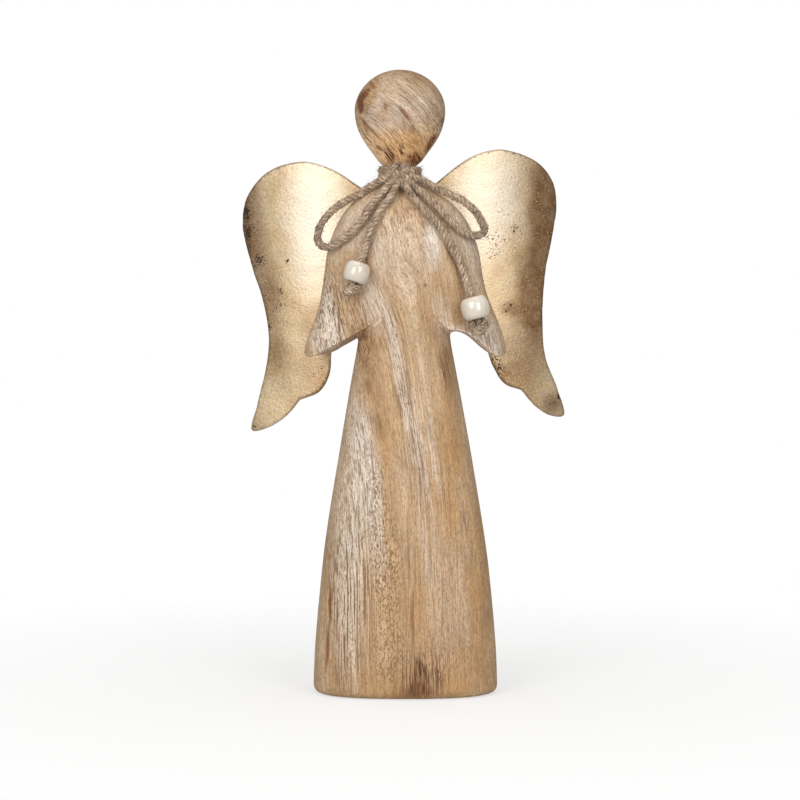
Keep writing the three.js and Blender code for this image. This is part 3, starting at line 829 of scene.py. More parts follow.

# Marks in the wood by kind: middle across and up, half width and half length in mm, lean in degrees, and how
# strong. Limed is where the wash stayed pale, amber where the oil shows, smoke a dark stain, resin a red-brown
# line or knot, fleck a column of short curled pores, line where the open pores draw dark lines, streak where
# pale hairlines run, and groove a charred mark. On the right sleeve's lower rim, a limed and an amber mark and a
# limed patch beside them are painted light instead.
woodMarks = {
    "limed": [
        # skirt
        (-13, 78, 5.8, 28, 9, 0.95), (-17.5, 60, 5, 26, 4, 0.55), (-14.5, 68, 3, 30, 8, 0.4),
        (-10, 58, 2, 22, 12, 0.5), (-19.5, 38, 6.5, 36, 1, 0.6), (0.6, 97, 2.2, 34, 12, 0.55),
        (5.6, 84, 1.6, 26, 9, 0.5), (9.5, 82, 1.2, 18, 9, 0.45), (6.5, 52, 2.2, 22, 4, 0.25),
        (-9.4, 46, 1.6, 14, 12, 0.3), (13.5, 34, 7, 26, 3, 0.25), (-12, 132, 5, 12, 8, 0.4),
        (20, 58, 1.4, 22, 5, 0.2),
        # sleeves and chest
        # the marks at (26.5, 117) and (20.5, 121) are painted light on the right sleeve's lower rim, where it
        # catches the lamps
        (-24.5, 124, 3.4, 18, 9, 0.85), (26.5, 117, 9, 14, 10, 0.8), (20.5, 121, 1.9, 11.5, 60, 0.6),
        (-17, 158, 7, 14, -30, 0.45), (21, 156, 7, 16, 25, 0.45), (-28, 122, 6, 17, 8, 0.5),
        (-20.3, 120, 1.3, 12, 12, 0.6), (-28.3, 118, 1.3, 7, 6, 0.7), (9.2, 152, 3.2, 10, 4, 1),
        (-9, 150, 3.2, 12, 12, 0.4), (-5, 124, 3, 20, 16, 0.6), (-11.5, 136, 2.2, 16, 12, 0.4),
        (0, 150, 14, 18, 0, 0.28), (13, 126, 4, 12, 12, 0.35), (24, 148, 6, 16, 6, 0.3),
        # head
        (-8.5, 198.2, 4, 2.4, 60, 0.5), (-3, 194, 8, 4.2, 42, 0.4), (3, 197, 9, 9, 45, 0.4),
        (-4, 203, 9, 6, 60, 0.25), (10, 198, 5, 9, 20, 0.2), (-11, 193, 4, 6, 30, 0.4),
    ],
    "amber": [
        # skirt
        (10, 52, 11, 44, 2, 0.62), (8, 28, 15, 22, 0, 0.55), (0, 4, 26, 5, 0, 0.25), (24.5, 40, 6, 34, 3, 0.8),
        (14, 90, 4, 20, 8, 0.55), (19, 10, 12, 12, 0, 0.7), (-2, 6, 14, 8, 0, 0.8), (8, 4, 20, 4, 0, 0.7),
        (-7, 86, 10, 20, 5, 0.4), (17, 70, 6, 30, 5, 0.4), (-7, 44, 4.5, 28, 0, 0.35),
        # sleeves and chest
        # the mark at (20.5, 121) tints the painted light on the right sleeve's lower rim
        (20.5, 121, 1.9, 11.5, 60, 0.4), (1.5, 142, 5, 4.5, 0, 0.4), (-1.8, 163, 4.5, 5, 0, 0.4),
        (17, 117, 6, 7, 30, 0.35), (-15, 132, 2, 18, 10, 0.3),
        # head
        (-9, 186.5, 5, 4.5, 35, 0.5), (-1, 183.5, 10, 6, 10, 0.8), (4.5, 179.5, 6, 5, 0, 0.6),
        (-7.5, 191, 2.4, 2.4, 0, 0.5), (-13, 199.6, 3.2, 6.5, -14, 0.35),
    ],
    "smoke": [
        # skirt
        (5.6, 8, 1.9, 7.5, 0, 0.2), (8, 7, 1.1, 5, 0, 0.5), (3.2, 5, 1.3, 5, 3, 0.6), (5, 13, 3.5, 6, 0, 0.12),
        (9.8, 10, 1, 6, 0, 0.6), (12.4, 7, 0.9, 4, 0, 0.4), (4, 3, 9, 3, 0, 0.5), (26.5, 28, 2.2, 20, 3, 0.15),
        (-9.5, 92, 2.4, 6, 20, 0.45), (-4, 60, 1.4, 8, 4, 0.3), (19.5, 60, 2, 7, 5, 0.4),
        (-27, 60, 4, 30, 0, 0.2), (1, 80, 3, 7, 10, 0.22), (14, 20, 10, 10, 0, 0.15),
        # sleeves and chest
        (17.5, 146, 2.6, 14, 24, 0.5), (25, 154, 4.5, 12, 6, 0.15), (14, 155, 1, 8, 24, 0.5),
        (-21.9, 126, 0.7, 14, 10, 0.6), (-18.2, 116, 0.7, 8, 14, 0.6), (-16, 118, 0.8, 9, 20, 0.5),
        (6.9, 138, 0.8, 0.8, 0, 1),
        # head
        (2, 180, 10, 3.4, 0, 0.3), (-14.4, 200.2, 1, 2.2, -40, 1), (-12.2, 202.8, 0.9, 1.2, -40, 0.8),
        (-14.8, 196.8, 0.9, 2.8, 4, 0.9), (2.8, 190, 0.8, 2.2, 45, 0.7), (9.2, 187, 1, 4, -20, 0.35),
        (0, 178.5, 9, 2, 0, 0.2),
    ],
    "resin": [
        # skirt
        (6, 1.5, 18, 2.4, 0, 0.3), (-24.9, 31, 0.8, 9, 1, 0.8), (-25.9, 16, 0.9, 10, -3, 0.7),
        (-22.8, 8, 0.6, 7, 2, 0.35), (2.8, 26, 0.8, 14, 0, 0.6), (1.5, 46, 0.7, 12, 1, 0.45),
        (1, 60, 0.6, 10, 3, 0.35), (4.5, 4, 6, 3.5, 0, 0.35), (13.2, 111, 1.2, 6, 8, 0.15),
        # sleeves and chest
        (15.5, 149, 1, 4, 22, 0.7), (20.6, 138, 1.2, 5, 18, 0.5), (-12.9, 146, 1.2, 3, 0, 0.6),
        (-12.2, 104, 1.8, 4, 12, 0.45),
        # head
        (-13.4, 201.4, 1.5, 3, -50, 1), (-14.8, 198.2, 1.3, 3.8, 6, 1), (-12.6, 196.4, 1, 2.4, 0, 0.4),
        (-10.6, 204.4, 2.2, 0.9, -50, 0.6), (-9.5, 206.6, 3.4, 0.8, -62, 0.5), (-13.2, 190.5, 1, 3.4, 24, 0.45),
        (3.6, 179.4, 3.6, 2.6, -4, 0.65), (-4.8, 180.6, 2.4, 3.4, 16, 0.4), (9.4, 185.6, 1.4, 4.4, -30, 0.7),
        (12.6, 191, 0.8, 5, -6, 0.4), (-11.6, 190, 0.7, 8, 42, 0.6), (0.2, 194.4, 1, 4.5, 42, 0.8),
        (-6.6, 197.5, 0.9, 2.6, 12, 0.6), (-2.6, 190.8, 0.5, 2.8, 45, 0.4),
    ],
    "fleck": [
        # skirt
        (-6.6, 44, 7.2, 30, 2, 1), (-9.4, 70, 4.4, 18, 6, 0.85), (-4.5, 16, 8, 15, -4, 0.8),
        (-14.5, 34, 4, 16, 0, 0.3), (12, 14, 14, 14, 0, 0.35),
    ],
    "line": [
        # skirt
        (-18.5, 34, 8, 40, 0, 1), (2, 90, 4, 30, 11, 0.7), (-14, 76, 6, 24, 4, 0.5), (13.4, 109, 3, 8, 6, 0.9),
        (10, 60, 14, 40, 2, 0.2), (6, 9, 12, 10, 0, 1),
        # sleeves and chest
        (26, 120, 7, 10, 10, 0.4), (-24, 124, 8, 22, 9, 1), (-14, 122, 5, 16, 14, 0.75),
        (-4, 122, 5, 14, 14, 0.6), (0, 158, 12, 8, 0, 0.4),
        # head
        (9.5, 194, 5, 9, 20, 0.4), (2, 202, 10, 5, 60, 0.5), (-3, 184, 9, 6, 20, 0.45), (6, 186, 5, 5, 0, 0.3),
    ],
    "streak": [
        # skirt
        (-14, 50, 10, 46, 4, 0.7), (2, 100, 8, 34, 10, 0.5), (-24, 124, 6, 18, 9, 0.8), (8, 60, 8, 40, 3, 0.35),
        # head
        (-9, 199, 3, 7, 40, 0.35), (-6, 188, 9, 8, 35, 0.8),
    ],
    "groove": [
        # skirt
        (5.8, 8, 3, 9, 0, 0.75), (8.4, 5, 1.6, 6.5, -10, 0.5), (3.4, 4, 1.6, 6.5, 10, 0.5),
        (11, 7, 2.2, 5.5, -4, 0.6), (1.2, 5, 2.2, 5, 6, 0.6),
        # sleeves and chest
        (13.8, 112, 2.2, 9, 10, 0.28),
        # head
        (-4.8, 181.6, 2.3, 4.2, 16, 1), (-0.8, 182.6, 1.6, 2.8, 12, 0.75), (-8.4, 183, 1.3, 3, 26, 0.6),
        (3.4, 179.4, 3.4, 3.2, -6, 1), (8.8, 185, 1.2, 4.2, -30, 0.95), (11.4, 193.6, 1.4, 4.4, 30, 0.4),
        (-12.2, 186.5, 0.9, 3.6, 38, 0.6),
    ],
}
woodMarkEdge = {"wander": 0.8, "wanderShare": 0.4, "fade": (0.35, 1.15)}
shadeByHeight = [  # painted shade and light by height: darker towards the foot and the crown, lighter at the neck; height in percent, and share of the light
    (0, 0.84), (6, 0.87), (25, 0.9), (45, 0.94), (52, 0.92), (62, 0.94), (72, 0.96), (84, 1.1), (90, 0.9),
    (100, 0.78),
]

woodMarkFadeAndShading = {
    "marksFade": (4, -2),  # from front to back: no marks behind the first depth, and full ones before the second
    "edgeShade": 0.06,  # painted shade: how much darker the rounded edges are painted where they turn away from the front
    "edgeTurn": (0.35, 0.95),  # how far from the front they turn for that
    "sleeveUndersideLight": 0.55,  # painted light: how much lighter the wood is painted under the sleeves, where it faces down
    "sleeveTurn": (0.15, 0.6),  # how far down it faces for that, and at what heights
    "sleeveHeights": (50, 70),
}


def leanShift(heights):  # how far the grain lines have moved to the left at each height above the foot
    table = vec(grainLean)
    z = np.linspace(0, figureHeight, 400)
    slope = np.tan(np.radians(np.interp(z / figureHeight * 100, table[:, 0], table[:, 1])))
    moved = np.r_[0, np.cumsum((slope[1:] + slope[:-1]) / 2 * np.diff(z))]
    return np.interp(heights, z, moved)


def grainLines(points):  # across the grain, in depth, and along it, in mm
    x, y, z = points.T
    wave = wavesAt(points, grainWaves)
    across = x + leanShift(z)
    for (x0, z0), radius in grainKnots:
        dx, dz = x - x0, z - z0
        across -= radius**2 * dx / (dx**2 + knotStretch * dz**2 + knotSoftness * radius**2)
    inHead = z > percent(neckHeight)
    dx, dz = x - headArcs[0], z - headArcs[1]
    across = np.where(inHead, np.hypot(dx, dz), across)
    along = np.where(inHead, np.arctan2(dz, dx) * headArcLength, z)
    return np.column_stack([across + wave, y * np.where(inHead, 0.5, 1) + 0.5 * wave, along])


def woodAttributes(piece, points, normals):
    fromFront = smoothstep(*woodMarkFadeAndShading["marksFade"], points[:, 1])
    masks = markMasks(points, woodMarks, noiseAt(points, (4, 9, 7), 1), woodMarkEdge, fromFront)
    grain = grainLines(points)
    # the tone is painted shade and light: darker towards the foot, the crown and the turned edges, lighter under
    # the sleeves
    tone = np.interp(points[:, 2] / figureHeight * 100, *vec(shadeByHeight).T)
    tone *= 1 - woodMarkFadeAndShading["edgeShade"] * smoothstep(*woodMarkFadeAndShading["edgeTurn"], 1 - np.abs(normals[:, 1]))
    underSleeves = smoothstep(*woodMarkFadeAndShading["sleeveTurn"], -normals[:, 2])
    underSleeves *= smoothstep(*woodMarkFadeAndShading["sleeveHeights"], points[:, 2])
    tone *= 1 + woodMarkFadeAndShading["sleeveUndersideLight"] * underSleeves
    for name, values in {**masks, "grain": grain, "tone": tone}.items():
        keepAttribute(piece, name, values)
    return grain, masks


def shapedFigure(material):
    rough = carveFigure()
    points = softened(rough.data, 2)
    faces = [tuple(p.vertices) for p in rough.data.polygons]
    bpy.data.objects.remove(rough)
    piece = finished("carved_figure_wood", points, faces, material)
    normals = np.empty(len(points) * 3)
    piece.data.vertex_normals.foreach_get("vector", normals)
    normals = normals.reshape(-1, 3)
    grain, masks = woodAttributes(piece, points, normals)
    relief = wavesAt(grain, figureBody["relief"])
    relief -= figureBody["grooveDepth"] * masks["groove"] + figureBody["resinDepth"] * masks["resin"]
    relief *= np.clip(points[:, 2] / figureBody["flatFoot"], 0, 1)
    piece.data.vertices.foreach_set("co", ((points + normals * relief[:, None]) * metre).ravel())
    piece.data.update()
    print("carved", len(faces), "faces")
    return piece


# Each noise has its size across and along the grain in mm, its detail and roughness, and a shift. A layer is its
# name, its paint, and where it lies: marks and noises, each with the ranges that it is mapped from and to.
woodLook = {
    "deep": "#ad8963",
    "tan": "#c7a67f",
    "pale": "#dbc1a2",
    "limed": "#e6dacc",
    "amber": "#c0935f",
    "smoke": "#57361f",
    "resin": "#84481f",
    "pore": "#735134",
    "finePore": "#8b6544",
    "poreLine": "#6e4d30",
    "fleckGround": "#d3b186",
    "char": "#4b270e",
    "streak": "#ead6bf",  # pale hairlines where the wash dried in the scratches
    "roughness": (0.7, 0.56),  # between the fibres, and on them
    "bump": {"Strength": 0.35, "Distance": 0.14 * metre},
    "depthShare": 0.45,  # the noises are this much slower into the wood than across the grain
    "noises": {
        "bands": (8, 90, 5, 0.65, 0),
        "streaks": (2, 50, 3, 0.6, 8.1),
        "lines": (0.5, 26, 1, 0.4, 3.7),  # dark lines of open pores, 0.2 mm wide, drawn wider so that they show
        "fibres": (0.42, 6, 3, 0.65, 2.2),
        "hairlines": (0.5, 60, 1, 0.5, 4.4),
        "pores": (0.32, 2.4, 1, 0.5, 5.3),
        "finePores": (0.32, 1.1, 1, 0.5, 7.7),
        "mottle": (0.5, 0.9, 3, 0.65, 6.6),
        "strokes": (0.45, 7, 1, 0.5, 3.1),
        "blotches": (5, 12, 3, 0.6, 9.4),
        "flecks": (0.38, 1.15, 1, 0.5, 1.9),
    },
    "fleckBend": (1.7, 0, 2.6),  # how far the short pores curl, in mm
    "fleckBends": 0.28,  # how often, for each mm
    "ground": [
        ("oiled", "amber", ("amber",), ("blotches", 0.3, 0.6, 0.6, 1)),
        ("column", "fleckGround", ("fleck",), ("mottle", 0.2, 0.7, 0.4, 0.9)),
        ("washed", "limed", ("limed",), ("fibres", 0.3, 0.6, 0.5, 1)),
        ("gummed", "resin", ("resin", 0.1, 0.8), ("mottle", 0.3, 0.5, 0.7, 1)),
        ("stained", "smoke", ("smoke",), ("fibres", 0.64, 0.4, 0.3, 1)),
    ],
    "shade": [
        ("fibres", 0.3, 0.7, 0.8, 1.15), ("streaks", 0.3, 0.7, 0.9, 1.07), ("mottle", 0.3, 0.7, 0.88, 1.11),
        ("blotches", 0.3, 0.7, 0.92, 1.06), ("tone",),
    ],
    "figure": [
        ("poreLines", "poreLine", ("lines", 0.55, 0.595), ("line", 0, 1, 0.18, 0.88)),
        ("pits", "pore", ("pores", 0.585, 0.64), ("line", 0, 1, 0.3, 0.8)),
        ("finePits", "finePore", ("finePores", 0.565, 0.61, 0, 0.5)),
        ("curls", "pore", ("flecks", 0.515, 0.575, 0, 0.8), ("fleck",)),
        ("scratches", "streak", ("streak",), ("hairlines", 0.58, 0.64, 0, 0.8)),
        ("charred", "char", ("groove", 0, 0.8), ("strokes", 0.5, 0.56, 0, 0.92)),
    ],
    "sunken": ("poreLines", "pits", "curls", "charred"),
}


def limedMango(look):
    # Mango wood: open-pored and streaky. Sanding leaves it satin, and the lime wash stays in the pale streaks.
    material = newMaterial("sandedLimedMangoWood")
    grain = addNode(material, "Attribute", output="Vector", attribute_name="grain")
    sources = {
        kind: addNode(material, "Attribute", output="Fac", attribute_name=kind) for kind in (*woodMarks, "tone")
    }
    bends = {"Vector": grain, "Scale": look["fleckBends"], "Detail": 2}
    bend = addNode(material, "TexNoise", bends, output="Color")
    curled = addNode(material, "VectorMath", [bend, look["fleckBend"], grain], operation="MULTIPLY_ADD")
    for name, (across, along, detail, roughness, shift) in look["noises"].items():
        place, pace = curled if name == "flecks" else grain, (1 / across, look["depthShare"] / across, 1 / along)
        scaled = addNode(material, "VectorMath", [place, pace, (shift, shift, shift)], operation="MULTIPLY_ADD")
        sources[name] = addNode(
            material, "TexNoise", {"Vector": scaled, "Scale": 1, "Detail": detail, "Roughness": roughness}
        )
    colour = addNode(
        material, "ValToRGB", [sources["bands"]],
        stops=[(0.32, look["deep"]), (0.48, look["tan"]), (0.66, look["pale"])],
    )
    colour = paintOver(material, sources, colour, look, look["ground"])
    shade = productOf(material, sources, look["shade"])
    colour = addNode(material, "VectorMath", {0: colour, "Scale": shade}, operation="SCALE")
    colour = paintOver(material, sources, colour, look, look["figure"])
    height = sources["fibres"]
    for name in look["sunken"]:
        height = addNode(material, "Math", [height, sources[name]], operation="SUBTRACT")
    return setShader(material, {
        "Base Color": colour,
        "Normal": addNode(material, "Bump", {**look["bump"], "Height": height}),
        "Roughness": addNode(material, "MapRange", [sources["fibres"], 0.3, 0.7, *look["roughness"]]),
        "Specular IOR Level": 0.3,
    })


setPlace(shapedFigure(limedMango(woodLook)), "wood", "carved_figure")


# The wings: one sheet of metal with both wings, flat on the back in its middle and curled back towards its edges

wingSheet = {
    "thickness": 0.9,
    "sweep": 12,
    "flatHalf": 15,
    "reach": percent(25),
    "turn": 2.6,  # degrees that it is screwed on out of level
    "middle": percent(-0.4),
    "pivot": percent(67.7),
    "rim": 0.24,  # rounding of the cut edge
    "spacing": 0.85,
    "rowShare": 0.87,  # of the rows, so that the triangles come out even
    "scatter": 0.12,  # of the sheet's points, as a share of their spacing
    "dents": [(0.11, (13, 1, 15), 8), (0.0385, (4.2, 1, 4.2), 9)],  # left by the snips and the hand
    "dentsFrom": (11, 21),  # flat where it lies on the back, and dented beyond
    "nicks": [(0.10, (3.1, 3.1, 1), 12)],  # the snips left the edge a little uneven
    "backWear": 0.4,  # the marks on the back, as a share of those in front
    "screwHole": 1.7,
    "holeAround": 24,
    "screwSpread": 4,  # of the two screws, above and below the middle of the bridge
}
wingValley, wingBridge = (0, 76.6), (0, 68.4)
wingOutlines = {
    "left": {
        "top": [(16.0, 86.3), (11.1, 85.05), (5.9, 81.5), wingValley],
        "behind": [wingBridge, (7.4, 66.6), (11.1, 61.5), (12.1, 55.0)],
        "lobe": [(12.1, 55.0), (12.65, 51.4), (14.4, 48.7), (17.7, 47.45)],
        "tip": [(17.7, 47.45), (20.1, 44.9), (23.3, 43.0), (26.1, 42.5)],
        "outer": [(16.0, 86.3), (21.6, 84.8), (25.1, 80.9), (26.0, 76.4), (24.7, 69.4), (23.2, 64.0),
                  (22.5, 58.1), (23.1, 53.4), (25.0, 46.9), (26.2, 42.9)],
    },
    "right": {
        "top": [(17.2, 86.8), (12.4, 85.9), (6.2, 81.85), wingValley],
        "behind": [wingBridge, (7.6, 66.6), (11.6, 61.5), (13.5, 53.9)],
        "lobe": [(13.5, 53.9), (14.2, 51.6), (16.0, 48.65), (18.8, 47.4)],
        "tip": [(18.8, 47.4), (20.9, 44.7), (23.4, 42.9), (25.8, 42.7)],
        "outer": [(17.2, 86.8), (23.1, 84.6), (25.6, 81.3), (26.05, 77.3), (25.1, 72.3), (23.7, 66.5),
                  (22.85, 58.5), (23.1, 52.6), (24.9, 47.2), (26.1, 43.5)],
    },
}
bridgeMiddle = percent((wingValley[1] + wingBridge[1]) / 2)
screwHeights = {
    "upper": bridgeMiddle + wingSheet["screwSpread"],
    "lower": bridgeMiddle - wingSheet["screwSpread"],
}


def flatLine(points, spacing):  # a smooth line through points of the flat sheet, in mm
    lifted = [(percent(x), 0, percent(z)) for x, z in points]
    return smoothLine(lifted, spacing)[:, [0, 2]]


def sheetOutline(spacing):
    sides = []
    for side, sign in (("right", 1), ("left", -1)):
        o = wingOutlines[side]
        over = flatLine(o["top"][::-1] + o["outer"][1:-1] + o["tip"][::-1][:-1] + o["tip"][:1], spacing)
        under = flatLine(o["lobe"][::-1][:-1] + o["behind"][::-1], spacing)
        line = np.vstack([over, under[1:]])
        line[:, 0] *= sign
        sides.append(line)
    right, left = sides
    outline = np.vstack([right, left[::-1][1:-1]])
    step = np.linalg.norm(outline - np.roll(outline, 1, axis=0), axis=1)
    return outline[step > 0.2 * spacing]


def insideOutline(points, outline):
    x, z = points.T
    inside = np.zeros(len(points), bool)
    for (x1, z1), (x2, z2) in zip(outline, np.roll(outline, -1, axis=0)):
        crosses = (z1 > z) != (z2 > z)
        at = x1 + (z - z1) * (x2 - x1) / ((z2 - z1) or 1e-12)
        inside ^= crosses & (x < at)
    return inside


def inset(outline, amount):
    before, after = outline - np.roll(outline, 1, axis=0), np.roll(outline, -1, axis=0) - outline
    n1, n2 = (unit(np.column_stack([-d[:, 1], d[:, 0]])) for d in (before, after))
    normal = unit(n1 + n2)
    reach = amount / np.clip((normal * n1).sum(axis=1), 0.5, 1)
    moved = outline + normal * reach[:, None]
    if not insideOutline(moved[:1], outline)[0]:
        moved = outline - normal * reach[:, None]
    return moved


def bentSheet(flat, depth):  # where points of the flat sheet lie once it is bent, at a depth into its thickness
    x, z = flat.T
    w = wingSheet
    out = np.maximum(0, np.abs(x) - w["flatHalf"]) / (w["reach"] - w["flatHalf"])
    tilt = np.arctan(2 * w["sweep"] * out / (w["reach"] - w["flatHalf"]))
    free = smoothstep(*w["dentsFrom"], np.abs(x))
    lifted = np.column_stack([x, np.zeros(len(x)), z])
    y = backPlane + gap + w["sweep"] * out**2 + free * wavesAt(lifted, w["dents"])
    bent = np.column_stack([x - np.sign(x) * depth * np.sin(tilt), y + depth * np.cos(tilt), z])
    turn, up = math.radians(w["turn"]), bent[:, 2] - w["pivot"]
    return np.column_stack([
        w["middle"] + bent[:, 0] * math.cos(turn) - up * math.sin(turn),
        bent[:, 1],
        w["pivot"] + bent[:, 0] * math.sin(turn) + up * math.cos(turn),
    ])


def cutEdge(w):
    outline = sheetOutline(w["spacing"] * 0.8)
    nicks = wavesAt(np.column_stack([outline, np.zeros(len(outline))]), w["nicks"])
    return outline + unit(inset(outline, 1) - outline) * nicks[:, None]


def clearOfHoles(points, radius):
    return np.all([np.hypot(points[:, 0], points[:, 1] - z) > radius for z in screwHeights.values()], axis=0)


def flatTriangles(w, outline):  # the flat sheet inside its rim, and the points round it and round the screw holes
    inner = inset(outline, w["rim"])
    a = roundAngles(w["holeAround"])
    across, up = w["screwHole"] * np.cos(a), w["screwHole"] * np.sin(a)
    loops = [inner, *(np.column_stack([across, height + up]) for height in screwHeights.values())]
    starts = np.cumsum([0, *map(len, loops)]).tolist()
    edges = [(s + k, s + (k + 1) % len(loop)) for s, loop in zip(starts, loops) for k in range(len(loop))]
    low, high = inner.min(axis=0), inner.max(axis=0)
    grid = vec([
        (x + (w["spacing"] / 2 if r % 2 else 0), z)
        for r, z in enumerate(np.arange(low[1], high[1], w["spacing"] * w["rowShare"]))
        for x in np.arange(low[0], high[0], w["spacing"])
    ])
    grid += np.random.default_rng(5).uniform(-w["scatter"], w["scatter"], grid.shape) * w["spacing"]
    keep = insideOutline(grid, inset(outline, w["rim"] + 0.5 * w["spacing"]))
    grid = grid[keep & clearOfHoles(grid, w["screwHole"] + 0.4)]
    spots = [Vector(p) for p in np.vstack([*loops, grid]).tolist()]
    made = geometry.delaunay_2d_cdt(spots, edges, [], 0, 1e-5)
    flat = vec([tuple(v) for v in made[0]])
    triangles = np.array(list(made[2]), int)
    middles = flat[triangles].mean(axis=1)
    triangles = triangles[insideOutline(middles, inner) & clearOfHoles(middles, w["screwHole"] * 0.995)]
    a, b, c = (flat[triangles[:, k]] for k in range(3))
    turnsLeft = (b - a)[:, 0] * (c - a)[:, 1] - (b - a)[:, 1] * (c - a)[:, 0] > 0
    triangles[~turnsLeft] = triangles[~turnsLeft][:, ::-1]
    newPlace = {old: new for new, olds in enumerate(made[3]) for old in olds}
    return flat, triangles, [[newPlace[s + k] for k in range(len(loop))] for s, loop in zip(starts, loops)]


def cutWings(material):
    w = wingSheet
    outline = cutEdge(w)
    flat, triangles, (rim, *holes) = flatTriangles(w, outline)
    n = len(flat)
    layers = ((flat, 0.0), (flat, w["thickness"]), (outline, w["thickness"] / 2))
    points = np.vstack([bentSheet(spots, depth) for spots, depth in layers])
    faces = [(p, q, r) for p, q, r in triangles] + [(n + r, n + q, n + p) for p, q, r in triangles]
    for k, (f1, f2) in enumerate(zip(rim, rim[1:] + rim[:1])):  # over the middle of the cut edge
        m1, m2 = 2 * n + k, 2 * n + (k + 1) % len(rim)
        faces += [(f2, f1, m1, m2), (m2, m1, n + f1, n + f2)]
    for hole in holes:
        faces += [(f1, f2, n + f2, n + f1) for f1, f2 in zip(hole, hole[1:] + hole[:1])]
    piece = finished("gilded_wings", points, faces, material)
    tidy = bmesh.new()
    tidy.from_mesh(piece.data)
    bmesh.ops.recalc_face_normals(tidy, faces=tidy.faces)
    madeInto(piece.data, tidy)
    fromEdge = edgeDistance(flat, outline)
    reach = np.r_[fromEdge, fromEdge, np.zeros(len(outline))]
    shown = np.r_[np.ones(n), np.full(n, w["backWear"]), np.ones(len(outline))]
    sheet = np.insert(np.vstack([flat, flat, outline]), 1, points[:, 1], axis=1)
    keepAttribute(piece, "sheet", sheet)
    for kind, values in leafMasks(sheet, reach).items():
        keepAttribute(piece, kind, values * shown)
    return piece


def edgeDistance(points, outline):
    nearest = np.full(len(points), 1e9)
    for p in outline:
        nearest = np.minimum(nearest, np.hypot(points[:, 0] - p[0], points[:, 1] - p[1]))
    return nearest


# Marks on the leaf by kind: middle across and up and half size in mm on the flat sheet, lean in degrees, and
# strength. A worn mark shows specks of the ground. The darkening marks are partly browned leaf and partly painted
# shade, where the curled sheet reflects the darker surround. The pale marks in the middle bands are painted
# highlights, where the softboxes reflect, and the pale marks on the lower tips are a painted reflection.
leafMarks = {
    "worn": [
        (-53, 163, 1.6, 16, 3, 0.16), (-53, 165, 1.6, 3.4, 0, 0.3), (-52, 172.5, 1.5, 2.4, 20, 0.3),
        (-53, 157.5, 1.4, 2.6, 0, 0.3), (-51, 160, 4, 16, 3, 0.08), (-48.8, 148.3, 3, 2.2, 0, 0.2),
        (-39, 147.2, 1.4, 1.2, 40, 0.3), (-42.2, 137.4, 1, 1.8, 20, 0.28), (-41.8, 132.5, 2.2, 1.6, 0, 0.16),
        (-38.2, 133.4, 2.2, 1.2, 0, 0.14), (-46.7, 125.4, 1, 2, 0, 0.2), (-50, 150, 5, 26, 3, 0.09),
        (-44, 132, 8, 22, 0, 0.06), (-53.6, 90.6, 0.9, 0.7, 0, 0.5), (-30, 109, 3.4, 2.6, 0, 0.12),
        (39.5, 155.3, 3, 2.4, 0, 0.2), (35, 161, 2, 1.5, 0, 0.14), (34.1, 151.4, 6, 5, 0, 0.08),
        (31.8, 147, 3, 5, 0, 0.1), (36, 150, 10, 16, 0, 0.05), (50, 150, 6, 34, -6, 0.09),
        (36.5, 127.5, 6, 3.4, 0, 0.16), (32.5, 106.5, 3, 4, 0, 0.22), (52.6, 96.6, 1.2, 1.8, 0, 0.36),
        (49.9, 92.9, 4, 2.4, 30, 0.14), (31, 112, 1.6, 3, 0, 0.16), (46, 120, 5, 12, 0, 0.08),
        (45, 176, 7, 6, 40, 0.08),
    ],
    # partly browned leaf, partly painted shade where the curled sheet reflects the darker surround
    "patinaAndShade": [
        (-53, 158, 9, 30, 4, 0.6), (-46, 134, 6, 16, -4, 0.55), (-44, 116, 4, 8, 0, 0.5),
        (-53, 172, 5, 10, 20, 0.5), (-30, 110, 9, 12, 0, 0.2), (-31, 110, 9, 16, 0, 0.35),
        (-30, 126, 8, 10, 0, 0.5), (36, 110, 12, 18, 0, 0.55), (48.5, 163, 5, 20, -10, 0.8),
        (46, 130, 7, 20, 0, 0.7), (51.5, 158, 7.5, 26, -8, 0.9), (44, 132, 7, 22, 0, 0.75),
        (38, 128, 4.5, 4, 0, 0.5), (50, 94, 5, 4, 0, 0.6), (34, 107, 3, 3, 0, 0.35), (50, 95, 5, 8, -20, 0.3),
        (-53, 160, 3, 20, 3, 0.5), (48, 173, 4, 7, 30, 0.5), (36, 127.8, 4.5, 3.5, 0, 0.5),
        (31, 108, 3, 4, 0, 0.4),
    ],
    # painted highlights, where the softboxes reflect in the wings
    "bandHighlight": [
        (-27, 158, 13, 30, 0, 0.9), (26, 162, 12, 28, 0, 0.85), (-34, 160, 6.5, 32, 2, 0.75),
        (35, 166, 10, 20, -4, 0.85),
    ],
    # painted reflection: the lower tips lightened
    "tipSheen": [
        (-48, 96, 10, 17, 20, 1), (49, 97, 6, 10, -20, 0.5),
    ],
}
leafMarkEdge = {"wander": 1, "wanderShare": 0.2, "fade": (0.1, 1.25)}
leafMarkWander = [(1.2, (7, 7, 7), 21)]
cutEdgeWear = {"patinaAndShade": (0.15, 0.5), "worn": (0.12, 0.7)}  # along the cut edge: strength, and width in mm


def leafMasks(sheet, reach):
    masks = markMasks(sheet, leafMarks, wavesAt(sheet, leafMarkWander), leafMarkEdge)
    for kind, (strength, width) in cutEdgeWear.items():
        masks[kind] = np.maximum(masks[kind], strength * np.exp(-reach / width))
    return masks


